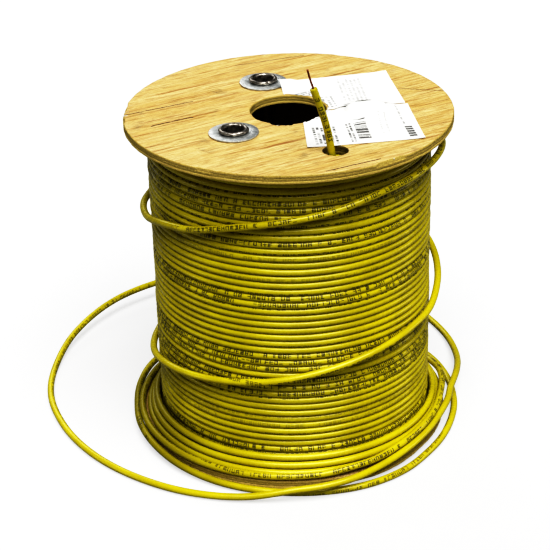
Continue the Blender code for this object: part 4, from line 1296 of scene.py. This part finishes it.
edge += [i * strip_m + strip_m - 1 for i in range(strip_n - 2, -1, -1)] + [j for j in range(strip_m - 2, 0, -1)]
for a, b in zip(edge, edge[1:] + edge[:1]):
    quads.append((a, b, k + b, k + a))
strip = build("torn_label_strip", verts, [np.array(quads)], TORN, crease=60.0)
settle(strip, "reel", "label_paper")

# ---------------------------------------------------------------- floor, light, camera
KEY, AMBIENT = 4.9, 0.11
FLOOR_Z = -ORIGIN_HEIGHT * MM
floor_mesh = bpy.data.meshes.new("floor")
floor_mesh.from_pydata([(-6, -4, FLOOR_Z), (6, -4, FLOOR_Z), (6, 12, FLOOR_Z), (-6, 12, FLOOR_Z)], [], [(0, 1, 2, 3)])
floor = bpy.data.objects.new("floor", floor_mesh)
bpy.context.scene.collection.objects.link(floor)
fp = Paint("studio_floor")
fx, fy, fz = fp.place()
grain = fp.noise(fp.vec(fx, fy, 0.0), 0.02, 3.0)
ray = fp.tree.nodes.new("ShaderNodeLightPath")
seen = Val(fp, ray.outputs["Is Camera Ray"])
pale = fp.mix(grain, (0.27, 0.27, 0.27), (0.29, 0.29, 0.29))
fp.set(
    Base_Color=fp.mix(seen, (0.20, 0.198, 0.19), pale), Roughness=0.9, Specular_IOR_Level=0.0,
    Emission_Color=(1.0, 1.0, 1.0), Emission_Strength=seen * 0.555,
)
floor_mesh.materials.append(fp.mat)


def softbox(name, place, aim, size, watts, colour=(1.0, 1.0, 1.0)):
    light = bpy.data.lights.new(name, "AREA")
    light.shape = "RECTANGLE"
    light.size, light.size_y = size
    light.energy = watts
    light.color = colour
    obj = bpy.data.objects.new(name, light)
    obj.location = place
    obj.rotation_mode = "QUATERNION"
    obj.rotation_quaternion = (Vector(aim) - Vector(place)).to_track_quat("-Z", "Y")
    bpy.context.scene.collection.objects.link(obj)
    return obj


sun = bpy.data.lights.new("key", "SUN")
sun.energy, sun.angle = KEY, math.radians(46.0)
key = bpy.data.objects.new("key", sun)
e, az = math.radians(63.0), math.radians(-90.0 + 14.0)
key.rotation_mode = "QUATERNION"
key.rotation_quaternion = (
    -Vector((math.cos(e) * math.cos(az), math.cos(e) * math.sin(az), math.sin(e)))
).to_track_quat("-Z", "Y")
bpy.context.scene.collection.objects.link(key)
softbox("back_box", (-0.6, 1.2, 0.9), (0.0, 0.0, 0.0), (1.0, 0.8), 6.0)
softbox("left_fill", (-1.1, -0.25, 0.02), (0.0, 0.0, 0.0), (0.5, 0.12), 0.9)
softbox("right_fill", (1.15, 0.10, 0.22), (0.10, 0.0, -0.07), (0.4, 0.3), 1.6)
world = bpy.data.worlds.new("studio")
world.use_nodes = True
world.node_tree.nodes["Background"].inputs["Color"].default_value = (1.0, 1.0, 1.0, 1.0)
# seen straight on, the backdrop is as pale as the floor
away = world.node_tree.nodes.new("ShaderNodeLightPath")
level = world.node_tree.nodes.new("ShaderNodeMapRange")
level.inputs["To Min"].default_value, level.inputs["To Max"].default_value = AMBIENT, 1.0
world.node_tree.links.new(away.outputs["Is Camera Ray"], level.inputs["Value"])
world.node_tree.links.new(level.outputs[0], world.node_tree.nodes["Background"].inputs["Strength"])
bpy.context.scene.world = world

cam_data = bpy.data.cameras.new("camera")
cam = bpy.data.objects.new("camera", cam_data)
bpy.context.scene.collection.objects.link(cam)
right, upv, back = (0.99968, -0.00288, -0.02532), (0.02386, 0.45453, 0.89041), (0.00895, -0.89073, 0.45445)
cam.matrix_world = Matrix((
    (right[0], upv[0], back[0], -0.0008), (right[1], upv[1], back[1], -0.88025), (right[2], upv[2], back[2], 0.44298),
    (0, 0, 0, 1),
))
cam_data.lens, cam_data.sensor_width = 114.48, 36.0
cam_data.clip_start, cam_data.clip_end = 0.05, 60.0
bpy.context.scene.camera = cam
view = bpy.context.scene.view_settings
view.view_transform = "Standard"
view.use_curve_mapping = True
tone = view.curve_mapping.curves[3]
for x_, y_ in ((0.06, 0.014), (0.20, 0.112), (0.45, 0.455), (0.72, 0.81)):
    tone.points.new(x_, y_)
view.curve_mapping.update()
